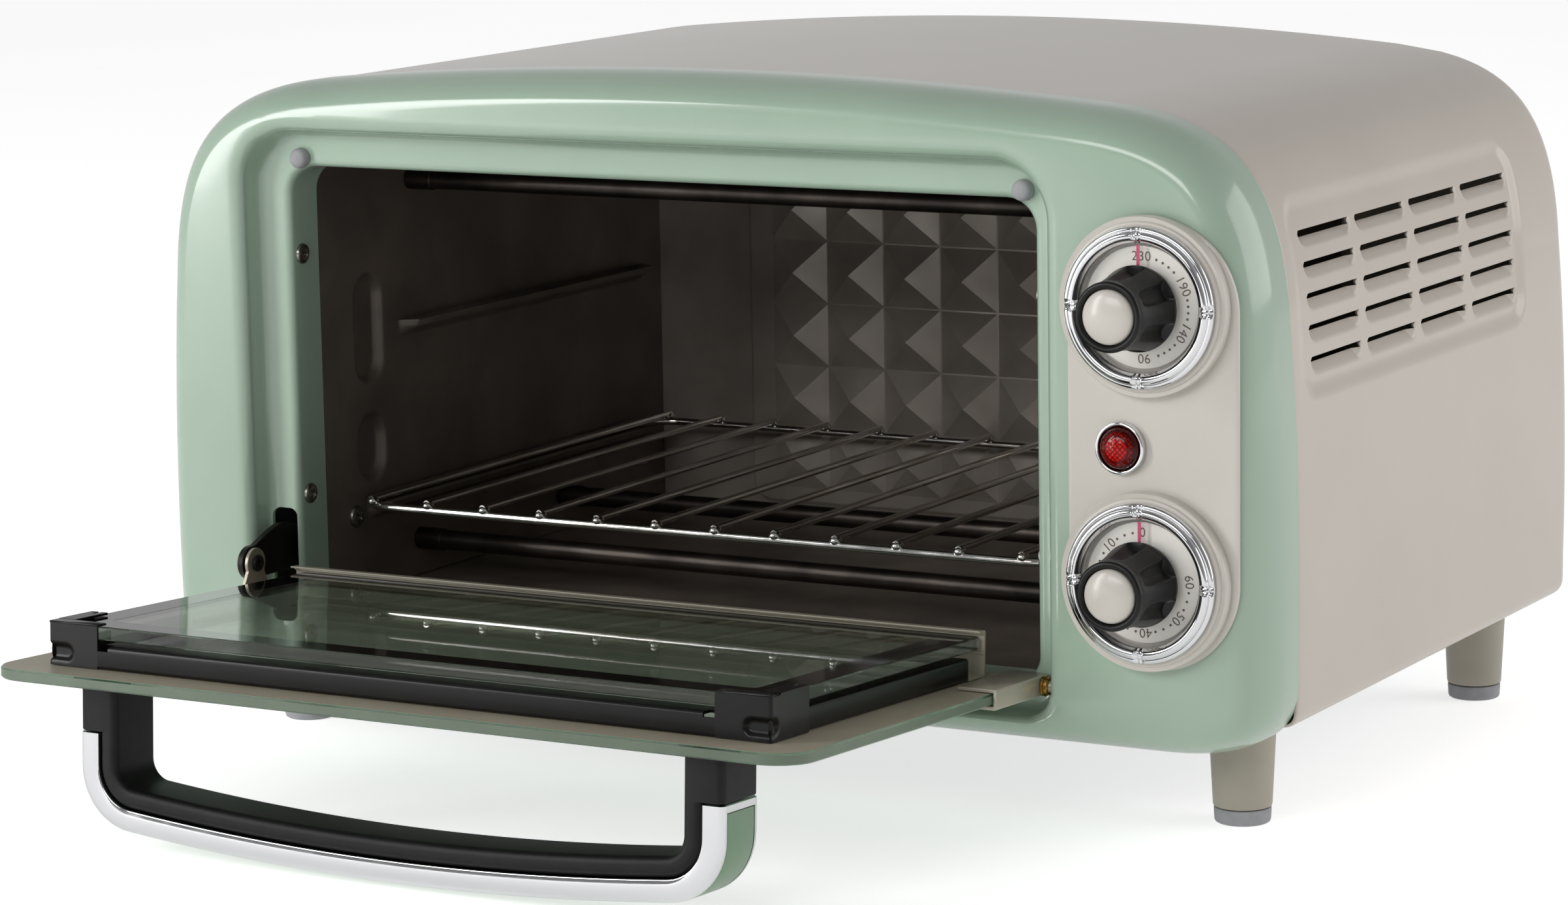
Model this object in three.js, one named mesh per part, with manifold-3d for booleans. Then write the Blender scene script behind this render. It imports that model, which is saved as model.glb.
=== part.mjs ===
// A retro countertop toaster oven with its door hanging open.
// Millimetres, +Z up, +X to the right seen from the front, +Y towards the back.
// Everything is drawn with y = 0 at the front of the fascia and z = 0 under the
// feet. The last lines move the whole oven so that the origin lies under the
// middle of its bounding box.
import * as THREE from 'three';
import { mergeVertices } from 'three/addons/utils/BufferGeometryUtils.js';
import Module from 'manifold-3d';

const wasm = await Module();
wasm.setup();

// ---- driving dimensions ----------------------------------------------------
const GAP = 0.3;

// Body
const FASCIA_DEPTH = 24.5;
const FASCIA_WALL = 2.2;
const SHOULDER_IN = 10;
const SHOULDER_BACK = 18;
const BODY_REAR = 241;
const SHEET = 1;
const WRAP_INSET = 0.5;
const BASE_Z = 33.4;
const WRAP_FLANGE = { x: 171.5, z: 31.5 };
const ROLL_Y = 233;
const COVER_Y = 239.3;

// Door opening in the fascia, and the recess that the door closes into
const OPENING = { x0: -139.9, x1: 111.3, z0: 42, z1: 178.4, top: 9, bottom: 7 };
const RECESS = { x0: -151, x1: 119, z0: 33.5, z1: 190, top: 17, bottom: 8 };
const RECESS_DEPTH = 10;
const FLANGE = 1.8;

// Cord gland in the back cover
const GLAND = { x: 150, z: 62 };

// Oven cavity
const CAVITY = { x0: -139.8, x1: 111.2, z0: 41, z1: 178.6, y0: 24.8, y1: 227.6 };
const LINER = 0.8;
const PYRAMID = { pitch: 21.3, height: 5.5, x0: -94.4, z0: 48.4, columns: 8, rows: 5 };
const RAIL_REACH = 6.3;
const RAIL_TOPS = [69, 124];

// Rack and heating tubes
const RACK = { x0: -137, x1: 106.5, y0: 34.6, y1: 214, z: 70.6, wire: 1.3 };
const CROSS_WIRE = { first: -129.7, pitch: 20.41, count: 12, radius: 1.1, rise: 2.2 };
const HEATER_RADIUS = 3.5;
const HEATERS = { lower_front: [75, 53], lower_rear: [160, 53], upper_front: [75, 168],
  upper_rear: [160, 168] };

// Controls
const PLATE = { x: 152.5, half: 25.6, low: 76.6, high: 150.9, face: -1.5, back: -0.3 };
const DIAL_X = 151.2;
const DIAL_Z = { temperature: 152.3, timer: 76.3 };
const SHAFT_RADIUS = 2.9;
const LAMP = { x: 143.4, z: 112.7, lens: 6, bezel: 7.3 };

// Door, in its own frame: x across, y along the door (the free edge is at the
// most negative y), z out of its inner side. Its origin is the hinge axis.
const HINGE = { y: 4.5, z: 42.3 };
const DOOR_TILT = 0.055;
const DOOR_MIDDLE = -16;
const GLASS = { half: 130.5, free: -141, hinge: 4, thick: 3.2, corner: 12 };
const FRAME = { x0: -132, x1: 100, free: -127.6, hinge: -6, top: 14 };
const CHANNEL = { height: 6.4, width: 9, sheet: 0.8 };
const PANE = { low: 9.6, high: 13.4, inset: 0.9 };
const CLIP = { front: 17, side: 20, sheet: 0.7, lip: 4.5 };
const LUG = { x0: -143.6, x1: -142.4, y: -15.4, z: 16.3, radius: 5 };
const LINK = { x0: -146.2, x1: -144, radius: 5, length: 60 };
const PIN_RADIUS = 1.8;
const BUSH = { radius: 2.9, length: 1.9 };

// Door handle, in the door's frame: a bail of rectangular section
const BAIL = { half: 104.3, bow: 840, drop: 47.7, corner: 18, thick: 12.5, front: -131.3, rear: -112.3 };
const TRIM = { thick: 6.4, top: -15.5 };
const INSERT = { thick: 1.2, front: -128.8, rear: -114.8, top: -18 };

// Feet
const FOOT = { x: 160.4, front: 41, rear: 220.7, top: 9.75, foot: 8, tip: 4.5 };

// ---- materials --------------------------------------------------------------
function finish(color, roughness, metalness = 0) {
  return new THREE.MeshStandardMaterial({ color, roughness, metalness });
}
const green = finish(0xa5ceb0, 0.25);
const cream = finish(0xcfc7be, 0.4);
const ivory = finish(0xd9d6ce, 0.35);
const blackMetal = finish(0x1d1c1d, 0.45);
const blackPlastic = finish(0x1b1b1c, 0.5);
const chrome = finish(0xdfe2e4, 0.08, 1);
const brass = finish(0xb08d4a, 0.3, 1);
const zinc = finish(0x8e8c88, 0.4, 1);
const liner = finish(0x3a3434, 0.55, 0.4);
const glass = finish(0x6f8f7c, 0.05);
const red = finish(0xa3140f, 0.15);
const rubber = finish(0x9a989c, 0.8);

// ---- geometry helpers -------------------------------------------------------
// Welds a geometry to one indexed shell whose faces point out.
function weld(geometry) {
  const bare = geometry.clone();
  for (const name of Object.keys(bare.attributes)) {
    if (name !== 'position') bare.deleteAttribute(name);
  }
  const merged = mergeVertices(bare, 1e-4);
  const index = merged.index.array;
  const at = merged.attributes.position;
  const kept = [];
  const corners = [new THREE.Vector3(), new THREE.Vector3(), new THREE.Vector3()];
  let volume = 0;
  for (let i = 0; i < index.length; i += 3) {
    const [a, b, c] = index.slice(i, i + 3);
    if (a === b || b === c || c === a) continue;
    kept.push(a, b, c);
    [a, b, c].forEach((vertex, k) => corners[k].fromBufferAttribute(at, vertex));
    volume += corners[0].dot(corners[1].clone().cross(corners[2]));
  }
  merged.setIndex(volume < 0 ? kept.reverse() : kept);
  return merged;
}

// Turns a welded geometry into a solid that can be joined and cut.
function solid(geometry) {
  const shell = weld(geometry);
  return new wasm.Manifold(new wasm.Mesh({
    numProp: 3,
    vertProperties: new Float32Array(shell.attributes.position.array),
    triVerts: new Uint32Array(shell.index.array),
  }));
}

function geometryOf(body) {
  const mesh = body.getMesh();
  const geometry = new THREE.BufferGeometry();
  geometry.setAttribute('position', new THREE.BufferAttribute(mesh.vertProperties, 3));
  geometry.setIndex(new THREE.BufferAttribute(mesh.triVerts, 1));
  return geometry;
}

// First geometry, with the others joined on.
function join(first, ...others) {
  let body = solid(first);
  for (const other of others) body = body.add(solid(other));
  return geometryOf(body);
}

// First geometry, with the others cut away.
function cut(first, ...others) {
  let body = solid(first);
  for (const other of others) body = body.subtract(solid(other));
  return geometryOf(body);
}

function box(x0, x1, y0, y1, z0, z1) {
  const block = new THREE.BoxGeometry(x1 - x0, y1 - y0, z1 - z0);
  return block.translate((x0 + x1) / 2, (y0 + y1) / 2, (z0 + z1) / 2);
}

function prism(outline, depth) {
  const shape = new THREE.Shape(outline);
  return new THREE.ExtrudeGeometry(shape, { depth, bevelEnabled: false, steps: 1 });
}

// An (x, z) outline swept from y0 to y1.
function prismY(outline, y0, y1) {
  return prism(outline, y1 - y0).rotateX(Math.PI / 2).translate(0, y1, 0);
}

// A (y, z) outline swept from x0 to x1.
function prismX(outline, x0, x1) {
  const turn = new THREE.Matrix4().makeBasis(
    new THREE.Vector3(0, 1, 0), new THREE.Vector3(0, 0, 1), new THREE.Vector3(1, 0, 0));
  return prism(outline, x1 - x0).applyMatrix4(turn).translate(x0, 0, 0);
}

// An (x, y) outline swept from z0 to z1.
function prismZ(outline, z0, z1) {
  return prism(outline, z1 - z0).translate(0, 0, z0);
}

// A profile of [radius, y] turned about the Y axis and put at (x, z).
function turned(profile, x, z, segments = 24) {
  const points = profile.map(([radius, y]) => new THREE.Vector2(radius, y));
  return new THREE.LatheGeometry(points, segments).translate(x, 0, z);
}

function rod(x, z, radius, y0, y1, segments = 16) {
  return turned([[0, y0], [radius, y0], [radius, y1], [0, y1]], x, z, segments);
}

function rodX(y, z, radius, x0, x1, segments = 12) {
  const bar = new THREE.CylinderGeometry(radius, radius, x1 - x0, segments);
  return bar.rotateZ(Math.PI / 2).translate((x0 + x1) / 2, y, z);
}

// Points of an arc about (cx, cy), ends included.
function arc(cx, cy, radius, from, to, steps) {
  return Array.from({ length: steps + 1 }, (_, i) => {
    const angle = from + (to - from) * i / steps;
    return new THREE.Vector2(cx + radius * Math.cos(angle), cy + radius * Math.sin(angle));
  });
}

// A rounded rectangle with its own radii at the top and bottom corners.
function roundedRect(x0, x1, z0, z1, top, bottom = top, steps = 5) {
  const quarter = Math.PI / 2;
  return [
    ...arc(x1 - bottom, z0 + bottom, bottom, -quarter, 0, steps),
    ...arc(x1 - top, z1 - top, top, 0, quarter, steps),
    ...arc(x0 + top, z1 - top, top, quarter, 2 * quarter, steps),
    ...arc(x0 + bottom, z0 + bottom, bottom, 2 * quarter, 3 * quarter, steps),
  ];
}

function grown(rect, by) {
  return roundedRect(rect.x0 - by, rect.x1 + by, rect.z0 - by, rect.z1 + by,
    rect.top + by, rect.bottom + by);
}

// Convex rings of (x, z) points at rising y, skinned and closed at both ends.
function loft(sections) {
  const count = sections[0].ring.length;
  const positions = [];
  const index = [];
  for (const { ring, y } of sections) {
    for (const point of ring) positions.push(point.x, y, point.y);
  }
  for (let s = 0; s + 1 < sections.length; s++) {
    for (let i = 0; i < count; i++) {
      const a = s * count + i;
      const b = s * count + (i + 1) % count;
      index.push(a, b, a + count, b, b + count, a + count);
    }
  }
  for (const s of [0, sections.length - 1]) {
    const centre = positions.length / 3;
    const ring = sections[s].ring;
    const sum = ring.reduce((total, point) => total.add(point), new THREE.Vector2());
    positions.push(sum.x / count, sections[s].y, sum.y / count);
    for (let i = 0; i < count; i++) {
      const pair = [s * count + i, s * count + (i + 1) % count];
      index.push(centre, ...(s === 0 ? pair.reverse() : pair));
    }
  }
  const geometry = new THREE.BufferGeometry();
  geometry.setAttribute('position', new THREE.Float32BufferAttribute(positions, 3));
  geometry.setIndex(index);
  return geometry;
}

// ---- body outline -----------------------------------------------------------
// Right half of the crowned outline, from the side up to the top middle.
function upperHalf(path) {
  path.bezierCurveTo(185.4, 78, 184.6, 115, 182.1, 144.8);
  path.bezierCurveTo(179.9, 188.5, 163.3, 201.6, 128.2, 204.8);
  path.bezierCurveTo(86, 208.6, 43, 210.5, 0, 210.5);
  return path;
}

function sampled(path, divisions) {
  return path.getPoints(divisions).filter((p, i, all) => i === 0 || p.distanceTo(all[i - 1]) > 0.01);
}

// Moves each point of a closed or open outline inwards along its normal.
function inset(points, by, open = false) {
  return points.map((point, i) => {
    const last = points.length - 1;
    const before = points[open ? Math.max(i - 1, 0) : (i + last) % (last + 1)];
    const after = points[open ? Math.min(i + 1, last) : (i + 1) % (last + 1)];
    const along = after.clone().sub(before).normalize();
    return new THREE.Vector2(point.x - along.y * by, point.y + along.x * by);
  });
}

function mirrored(points) {
  return points.map((point) => new THREE.Vector2(-point.x, point.y)).reverse();
}

function fasciaOutline() {
  const path = new THREE.Path();
  path.moveTo(0, 24.7);
  path.lineTo(150, 24.7);
  path.bezierCurveTo(174, 24.6, 184.3, 30.5, 184.6, 44.6);
  const right = sampled(upperHalf(path), 8);
  return [...right, ...mirrored(right).slice(1, -1)];
}

// The wrap is open underneath: its two lower edges turn in as narrow flanges.
function wrapOutline() {
  const path = new THREE.Path();
  path.moveTo(WRAP_FLANGE.x, WRAP_FLANGE.z);
  path.lineTo(179, WRAP_FLANGE.z);
  path.quadraticCurveTo(184.3, WRAP_FLANGE.z, 184.6, 37);
  path.lineTo(184.6, 44.6);
  const right = sampled(upperHalf(path), 8);
  return [...right, ...mirrored(right).slice(1)];
}

// ---- body -------------------------------------------------------------------
// Front fascia: a drawn shell with a rounded shoulder, the door recess, the
// flange around the opening, and holes for the door link, hinge pins, dial
// shafts and lamp.
function frontFascia() {
  const outline = fasciaOutline();
  const shoulder = [0, 0.25, 0.5, 0.75, 1].map((t) => {
    const angle = t * Math.PI / 2;
    return { ring: inset(outline, SHOULDER_IN * (1 - Math.sin(angle))), y: SHOULDER_BACK * (1 - Math.cos(angle)) };
  });
  const shell = loft([...shoulder, { ring: outline, y: FASCIA_DEPTH }]);
  const hollow = loft([
    { ring: inset(outline, SHOULDER_IN + 1), y: FASCIA_WALL },
    { ring: inset(outline, 4.2), y: 6.5 },
    { ring: inset(outline, FASCIA_WALL), y: SHOULDER_BACK },
    { ring: inset(outline, FASCIA_WALL), y: FASCIA_DEPTH + 1 },
  ]);
  const tub = loft([
    { ring: grown(RECESS, 4.5), y: 1 },
    { ring: grown(RECESS, 2), y: 4 },
    { ring: grown(RECESS, 1.2), y: 8.4 },
    { ring: grown(RECESS, -1.5), y: RECESS_DEPTH + 2 },
  ]);
  const recess = loft([
    { ring: grown(RECESS, 3.5), y: -1 },
    { ring: grown(RECESS, 3.5), y: 0.01 },
    { ring: grown(RECESS, 1), y: 1 },
    { ring: grown(RECESS, 0), y: 3 },
    { ring: grown(RECESS, -0.6), y: 7.4 },
    { ring: grown(RECESS, -3.6), y: RECESS_DEPTH },
  ]);
  const flange = loft([
    { ring: grown(OPENING, FLANGE + 2), y: RECESS_DEPTH + 0.5 },
    { ring: grown(OPENING, FLANGE), y: RECESS_DEPTH + 4 },
    { ring: grown(OPENING, FLANGE), y: FASCIA_DEPTH - 0.1 },
  ]);
  const opening = loft([
    { ring: grown(OPENING, 2.4), y: RECESS_DEPTH - 0.5 },
    { ring: grown(OPENING, 2.2), y: RECESS_DEPTH + 0.1 },
    { ring: grown(OPENING, 0.6), y: RECESS_DEPTH + 0.8 },
    { ring: grown(OPENING, 0), y: RECESS_DEPTH + 2.4 },
    { ring: grown(OPENING, 0), y: FASCIA_DEPTH + 1 },
  ]);
  const linkSlot = prismY(roundedRect(-149.5, -141.2, 38.5, 73, 4), 6, FASCIA_DEPTH + 2);
  const holes = [
    linkSlot,
    rodX(HINGE.y, HINGE.z, PIN_RADIUS + 0.25, RECESS.x1 - 3, RECESS.x1 + 6),
    rodX(HINGE.y, HINGE.z, PIN_RADIUS + 0.25, RECESS.x0 - 6, RECESS.x0 + 3),
    rod(DIAL_X, DIAL_Z.temperature, 7, -1, 4),
    rod(DIAL_X, DIAL_Z.timer, 7, -1, 4),
    rod(LAMP.x, LAMP.z, LAMP.lens + 0.6, -1, 4),
  ];
  let body = solid(shell).subtract(solid(hollow));
  body = body.add(solid(tub)).add(solid(flange));
  for (const space of [recess, opening, ...holes]) body = body.subtract(solid(space));
  return geometryOf(body);
}

// Wrap: one sheet bent over both sides and the top, its rear edge rolled in.
function bodyWrap() {
  const outline = wrapOutline();
  const edges = [
    { by: WRAP_INSET, y: FASCIA_DEPTH + GAP },
    { by: WRAP_INSET, y: ROLL_Y },
    { by: WRAP_INSET + 1.6, y: 238.6 },
    { by: WRAP_INSET + 4.2, y: BODY_REAR },
  ];
  const count = outline.length;
  const positions = [];
  const index = [];
  for (const { by, y } of edges) {
    for (const point of inset(outline, by, true)) positions.push(point.x, y, point.y);
    for (const point of inset(outline, by + SHEET, true)) positions.push(point.x, y - (by > 2 ? 0.8 : 0), point.y);
  }
  const quad = (a, b, c, d) => index.push(a, b, c, a, c, d);
  const stride = 2 * count;
  for (let s = 0; s + 1 < edges.length; s++) {
    for (let i = 0; i + 1 < count; i++) {
      const outer = s * stride + i;
      const inner = outer + count;
      quad(outer, outer + 1, outer + 1 + stride, outer + stride);
      quad(inner, inner + stride, inner + 1 + stride, inner + 1);
    }
    const first = s * stride;
    const last = first + count - 1;
    quad(first, first + stride, first + count + stride, first + count);
    quad(last, last + count, last + count + stride, last + stride);
  }
  const rear = (edges.length - 1) * stride;
  for (let i = 0; i + 1 < count; i++) {
    quad(i, i + count, i + 1 + count, i + 1);
    quad(rear + i, rear + i + 1, rear + i + 1 + count, rear + i + count);
  }
  const wrap = new THREE.BufferGeometry();
  wrap.setAttribute('position', new THREE.Float32BufferAttribute(positions, 3));
  wrap.setIndex(index);
  const louvres = [];
  const slot = { y: 40.6, z: 169.5, long: 37.6, high: 3.2, stepY: 40.69, stepZ: 8.85 };
  for (let column = 0; column < 4; column++) {
    for (let row = 0; row < 5; row++) {
      const y = slot.y + column * slot.stepY;
      const z = slot.z - row * slot.stepZ;
      louvres.push(box(174, 190, y, y + slot.long, z - slot.high, z));
    }
  }
  return cut(wrap, ...louvres);
}

// A flat panel of the body's outline, set in from it.
function outlinePanel(by, y0, y1) {
  return prismY(inset(fasciaOutline(), by), y0, y1);
}

// Back cover: a flat panel with two banks of vents and the cord's hole.
function backCover() {
  const below = [box(-200, 200, COVER_Y - 2, COVER_Y + 3, 0, BASE_Z + 1.4)];
  for (const side of [-1, 1]) {
    const x = side * (WRAP_FLANGE.x + 28);
    below.push(box(x - 29, x + 29, COVER_Y - 2, COVER_Y + 3, 0, 38.4));
  }
  const vents = [];
  for (const bank of [-120, 60]) {
    for (let row = 0; row < 5; row++) {
      vents.push(box(bank, bank + 56, COVER_Y - 2, COVER_Y + 3, 150 + row * 9, 153.4 + row * 9));
    }
  }
  const cordHole = rod(GLAND.x, GLAND.z, 6.4, COVER_Y - 2, COVER_Y + 3);
  return cut(outlinePanel(6.3, COVER_Y, COVER_Y + SHEET), ...below, cordHole, ...vents);
}

// Base: a flat sheet, narrower at the back where the wrap's flanges roll in.
function basePlate() {
  const front = FASCIA_DEPTH + 0.8;
  const narrow = WRAP_FLANGE.x - 1.2;
  return join(
    box(-178, 178, front, ROLL_Y - 0.5, BASE_Z, BASE_Z + SHEET),
    box(-narrow, narrow, front, COVER_Y - GAP, BASE_Z, BASE_Z + SHEET));
}

// Cord gland: a grooved collar that grips the cover's edge on both sides.
function cordGland() {
  const profile = [[3.6, COVER_Y - 4], [8.4, COVER_Y - 4], [8.4, COVER_Y - GAP], [6, COVER_Y - GAP],
    [6, COVER_Y + SHEET + GAP], [8.4, COVER_Y + SHEET + GAP], [7.2, COVER_Y + 5], [3.6, COVER_Y + 5],
    [3.6, COVER_Y - 4]];
  return turned(profile, GLAND.x, GLAND.z, 20);
}

// ---- oven cavity --------------------------------------------------------------
// Side liner with its two rack rails pressed into the cavity.
function cavitySide(face, inwards) {
  const out = face - inwards * LINER;
  const tip = face + inwards * RAIL_REACH;
  const sheet = box(Math.min(face, out), Math.max(face, out), CAVITY.y0, CAVITY.y1 - GAP,
    CAVITY.z0 + GAP, CAVITY.z1 - GAP);
  const rails = RAIL_TOPS.map((top) => {
    const outline = [[0, -5], [tip - face, -1.6], [tip - face, 0], [0, 0], [-inwards * 0.4, -2.5]];
    const points = outline.map(([x, z]) => new THREE.Vector2(face + x, top + z));
    return prismY(inwards > 0 ? points : points.reverse(), 30, 216);
  });
  return join(sheet, ...rails);
}

// Back liner: a sheet with a field of square pyramids pressed forwards.
function cavityBack() {
  const { pitch, height, x0, z0, columns, rows } = PYRAMID;
  const sheet = box(CAVITY.x0 - LINER, CAVITY.x1 + LINER, CAVITY.y1, CAVITY.y1 + LINER,
    CAVITY.z0 - LINER, CAVITY.z1 + LINER);
  const field = [];
  for (let column = 0; column < columns; column++) {
    for (let row = 0; row < rows; row++) {
      const pyramid = new THREE.ConeGeometry(pitch / Math.SQRT2 - 0.2, height, 4);
      pyramid.rotateY(Math.PI / 4).rotateX(Math.PI);
      const x = x0 + (column + 0.5) * pitch;
      const z = z0 + (row + 0.5) * pitch;
      field.push(pyramid.translate(x, CAVITY.y1 - height / 2 + 0.01, z));
    }
  }
  return join(sheet, ...field);
}

// Rack: a bent frame wire with straight cross wires welded on top of it.
function wireRack() {
  const corner = 14;
  const loop = new THREE.CurvePath();
  const at = roundedRect(RACK.x0, RACK.x1, RACK.y0, RACK.y1, corner, corner, 4);
  const points = at.map((p) => new THREE.Vector3(p.x, p.y, RACK.z));
  points.forEach((p, i) => loop.add(new THREE.LineCurve3(p, points[(i + 1) % points.length])));
  const ring = (p, across) => arc(0, 0, RACK.wire, 0, 2 * Math.PI, 6).slice(0, 6).map((o) =>
    p.clone().addScaledVector(across, o.x).add(new THREE.Vector3(0, 0, o.y)));
  const rings = points.map((p, i) => {
    const before = points[(i + points.length - 1) % points.length];
    const after = points[(i + 1) % points.length];
    const along = after.clone().sub(before).normalize();
    return ring(p, new THREE.Vector3(along.y, -along.x, 0));
  });
  const positions = rings.flat().flatMap((p) => [p.x, p.y, p.z]);
  const index = [];
  for (let s = 0; s < rings.length; s++) {
    for (let i = 0; i < 6; i++) {
      const next = ((s + 1) % rings.length) * 6;
      const a = s * 6 + i;
      const b = s * 6 + (i + 1) % 6;
      index.push(a, b, next + (i + 1) % 6, a, next + (i + 1) % 6, next + i);
    }
  }
  const frame = new THREE.BufferGeometry();
  frame.setAttribute('position', new THREE.Float32BufferAttribute(positions, 3));
  frame.setIndex(index);
  const wires = [];
  for (let i = 0; i < CROSS_WIRE.count; i++) {
    const x = CROSS_WIRE.first + i * CROSS_WIRE.pitch;
    wires.push(rod(x, RACK.z + CROSS_WIRE.rise, CROSS_WIRE.radius, RACK.y0 - 1, RACK.y1 + 1, 6));
  }
  return join(frame, ...wires);
}

// ---- controls -----------------------------------------------------------------
// Cream plate: a stadium with a raised collar under each dial.
function controlPlate() {
  const { x, half, low, high, face, back } = PLATE;
  const outline = [...arc(x, low, half, -Math.PI, 0, 16), ...arc(x, high, half, 0, Math.PI, 16)];
  const collar = (z) => turned([[0, back - 0.4], [24.2, back - 0.4], [24.9, face - 0.6], [24.4, -4.4],
    [22.9, -5.9], [0, -5.9]], DIAL_X, z);
  const well = (z) => rod(DIAL_X, z, 17.9, -7, -3.4, 24);
  const hole = (z) => rod(DIAL_X, z, 7, -8, 2);
  const plate = join(prismY(outline, face, back), collar(DIAL_Z.temperature), collar(DIAL_Z.timer));
  return cut(plate, well(DIAL_Z.temperature), well(DIAL_Z.timer), hole(DIAL_Z.temperature),
    hole(DIAL_Z.timer), rod(LAMP.x, LAMP.z, LAMP.lens + 0.3, -4, 2));
}

// Chrome ring: a double bead around the window.
function dialRing(z) {
  const profile = [[17.9, -6.2], [22.2, -6.2], [22.3, -7.2], [21.4, -8.2], [20.7, -8.4], [19.7, -9.3],
    [18.4, -8.6], [17.9, -7.4], [17.9, -6.2]];
  return turned(profile, DIAL_X, z);
}

function dialWindow(z) {
  return turned([[7, -7.2], [17.6, -7.2], [17.6, -6.5], [7, -6.5], [7, -7.2]], DIAL_X, z);
}

function dialDisc(z) {
  return turned([[6.3, -5.2], [16.8, -5.2], [16.8, -4.4], [6.3, -4.4], [6.3, -5.2]], DIAL_X, z);
}

// Knob: a flared grip with six scooped flutes, bored for its shaft.
function controlKnob(z) {
  const profile = [[0, -19.8], [3.2, -19.8], [3.2, -3.8], [6, -3.8], [6, -7.6], [11.4, -7.9],
    [11.8, -8.8], [11, -13], [10.2, -17.5], [9.6, -22], [9.3, -26], [8.7, -27.1], [7.9, -27.1],
    [7.9, -25.6], [0, -25.6]];
  const knob = turned(profile, 0, 0);
  const at = knob.attributes.position;
  for (let i = 0; i < at.count; i++) {
    const radius = Math.hypot(at.getX(i), at.getZ(i));
    const y = at.getY(i);
    if (radius < 9.5 || y > -9) continue;
    const angle = Math.atan2(at.getX(i), at.getZ(i));
    const flute = Math.max(0, Math.cos(6 * angle)) ** 2;
    const scale = 1 - 1.3 * flute / radius;
    at.setXYZ(i, at.getX(i) * scale, y, at.getZ(i) * scale);
  }
  return knob.translate(DIAL_X, 0, z);
}

function knobCap(z) {
  return turned([[0, -28.6], [3.5, -28.4], [6, -27.9], [7.55, -27], [7.55, -25.9], [0, -25.9]],
    DIAL_X, z);
}

function dialShaft(z) {
  return rod(DIAL_X, z, SHAFT_RADIUS, -19.4, 8, 12);
}

// A switch body behind the fascia, bored for the end of its shaft.
function switchBody(z, half, depth) {
  const block = box(DIAL_X - half, DIAL_X + half, 2.7, depth, z - half, z + half);
  return cut(block, rod(DIAL_X, z, SHAFT_RADIUS + 0.4, 1, 8.4, 12));
}

// ---- door ---------------------------------------------------------------------
const glassTop = GLASS.thick / 2;
const frameLow = glassTop + GAP;

function doorGlass() {
  const { half, free, hinge, corner } = GLASS;
  const outline = roundedRect(DOOR_MIDDLE - half, DOOR_MIDDLE + half, free, hinge, 3, corner, 6);
  return prismZ(outline, -glassTop, glassTop);
}

function doorPane() {
  const { x0, x1, free, hinge } = FRAME;
  return box(x0 + PANE.inset, x1 - PANE.inset, free + PANE.inset + 1, hinge - GAP, PANE.low, PANE.high);
}

// A C-shaped channel open towards the middle of the door, along x.
function frontChannel() {
  const { sheet, width, height } = CHANNEL;
  const y = FRAME.free;
  const low = frameLow;
  const high = low + height;
  const outline = [[0, low], [width, low], [width, low + sheet], [sheet, low + sheet],
    [sheet, high - sheet], [width, high - sheet], [width, high], [0, high]];
  const points = outline.map(([along, z]) => new THREE.Vector2(y + along, z));
  return prismX(points, FRAME.x0, FRAME.x1);
}

// The same channel down one side; inwards is +1 on the left, -1 on the right.
function sideChannel(x, inwards) {
  const { sheet, width, height } = CHANNEL;
  const low = frameLow;
  const high = low + height;
  const outline = [[0, low], [width, low], [width, low + sheet], [sheet, low + sheet],
    [sheet, high - sheet], [width, high - sheet], [width, high], [0, high]];
  const points = outline.map(([along, z]) => new THREE.Vector2(x + inwards * along, z));
  return prismY(inwards > 0 ? points : points.reverse(), FRAME.free + width + GAP, FRAME.hinge - 9.4);
}

// Corner clip: two walls and a lip folded over the pane's corner.
function cornerClip(x, inwards) {
  const { front, side, sheet, lip } = CLIP;
  const out = x - inwards * (sheet + GAP);
  const face = FRAME.free - GAP - sheet;
  const span = (a, b) => [Math.min(a, b), Math.max(a, b)];
  const [ax0, ax1] = span(out, out + inwards * front);
  const [bx0, bx1] = span(out, out + inwards * sheet);
  const [cx0, cx1] = span(out, out + inwards * (lip + 1));
  const top = FRAME.top - 0.3;
  return join(
    box(ax0, ax1, face, face + sheet, frameLow, top + sheet - 0.2),
    box(bx0, bx1, face, face + side, frameLow, top + sheet - 0.2),
    box(ax0, ax1, face, face + lip, top, top + sheet),
    box(cx0, cx1, face, face + side, top, top + sheet));
}

// Rail on the hinge side: a J section whose lip holds the pane down.
function hingeRail() {
  const y = FRAME.hinge;
  const top = FRAME.top;
  const outline = [[-9, frameLow], [1, frameLow], [1, top], [-2.6, top], [-2.6, top - 0.3],
    [GAP, top - 0.3], [GAP, frameLow + 0.7], [-9, frameLow + 0.7]];
  const points = outline.map(([along, z]) => new THREE.Vector2(y + along, z));
  return prismX(points, FRAME.x0, FRAME.x1);
}

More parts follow.
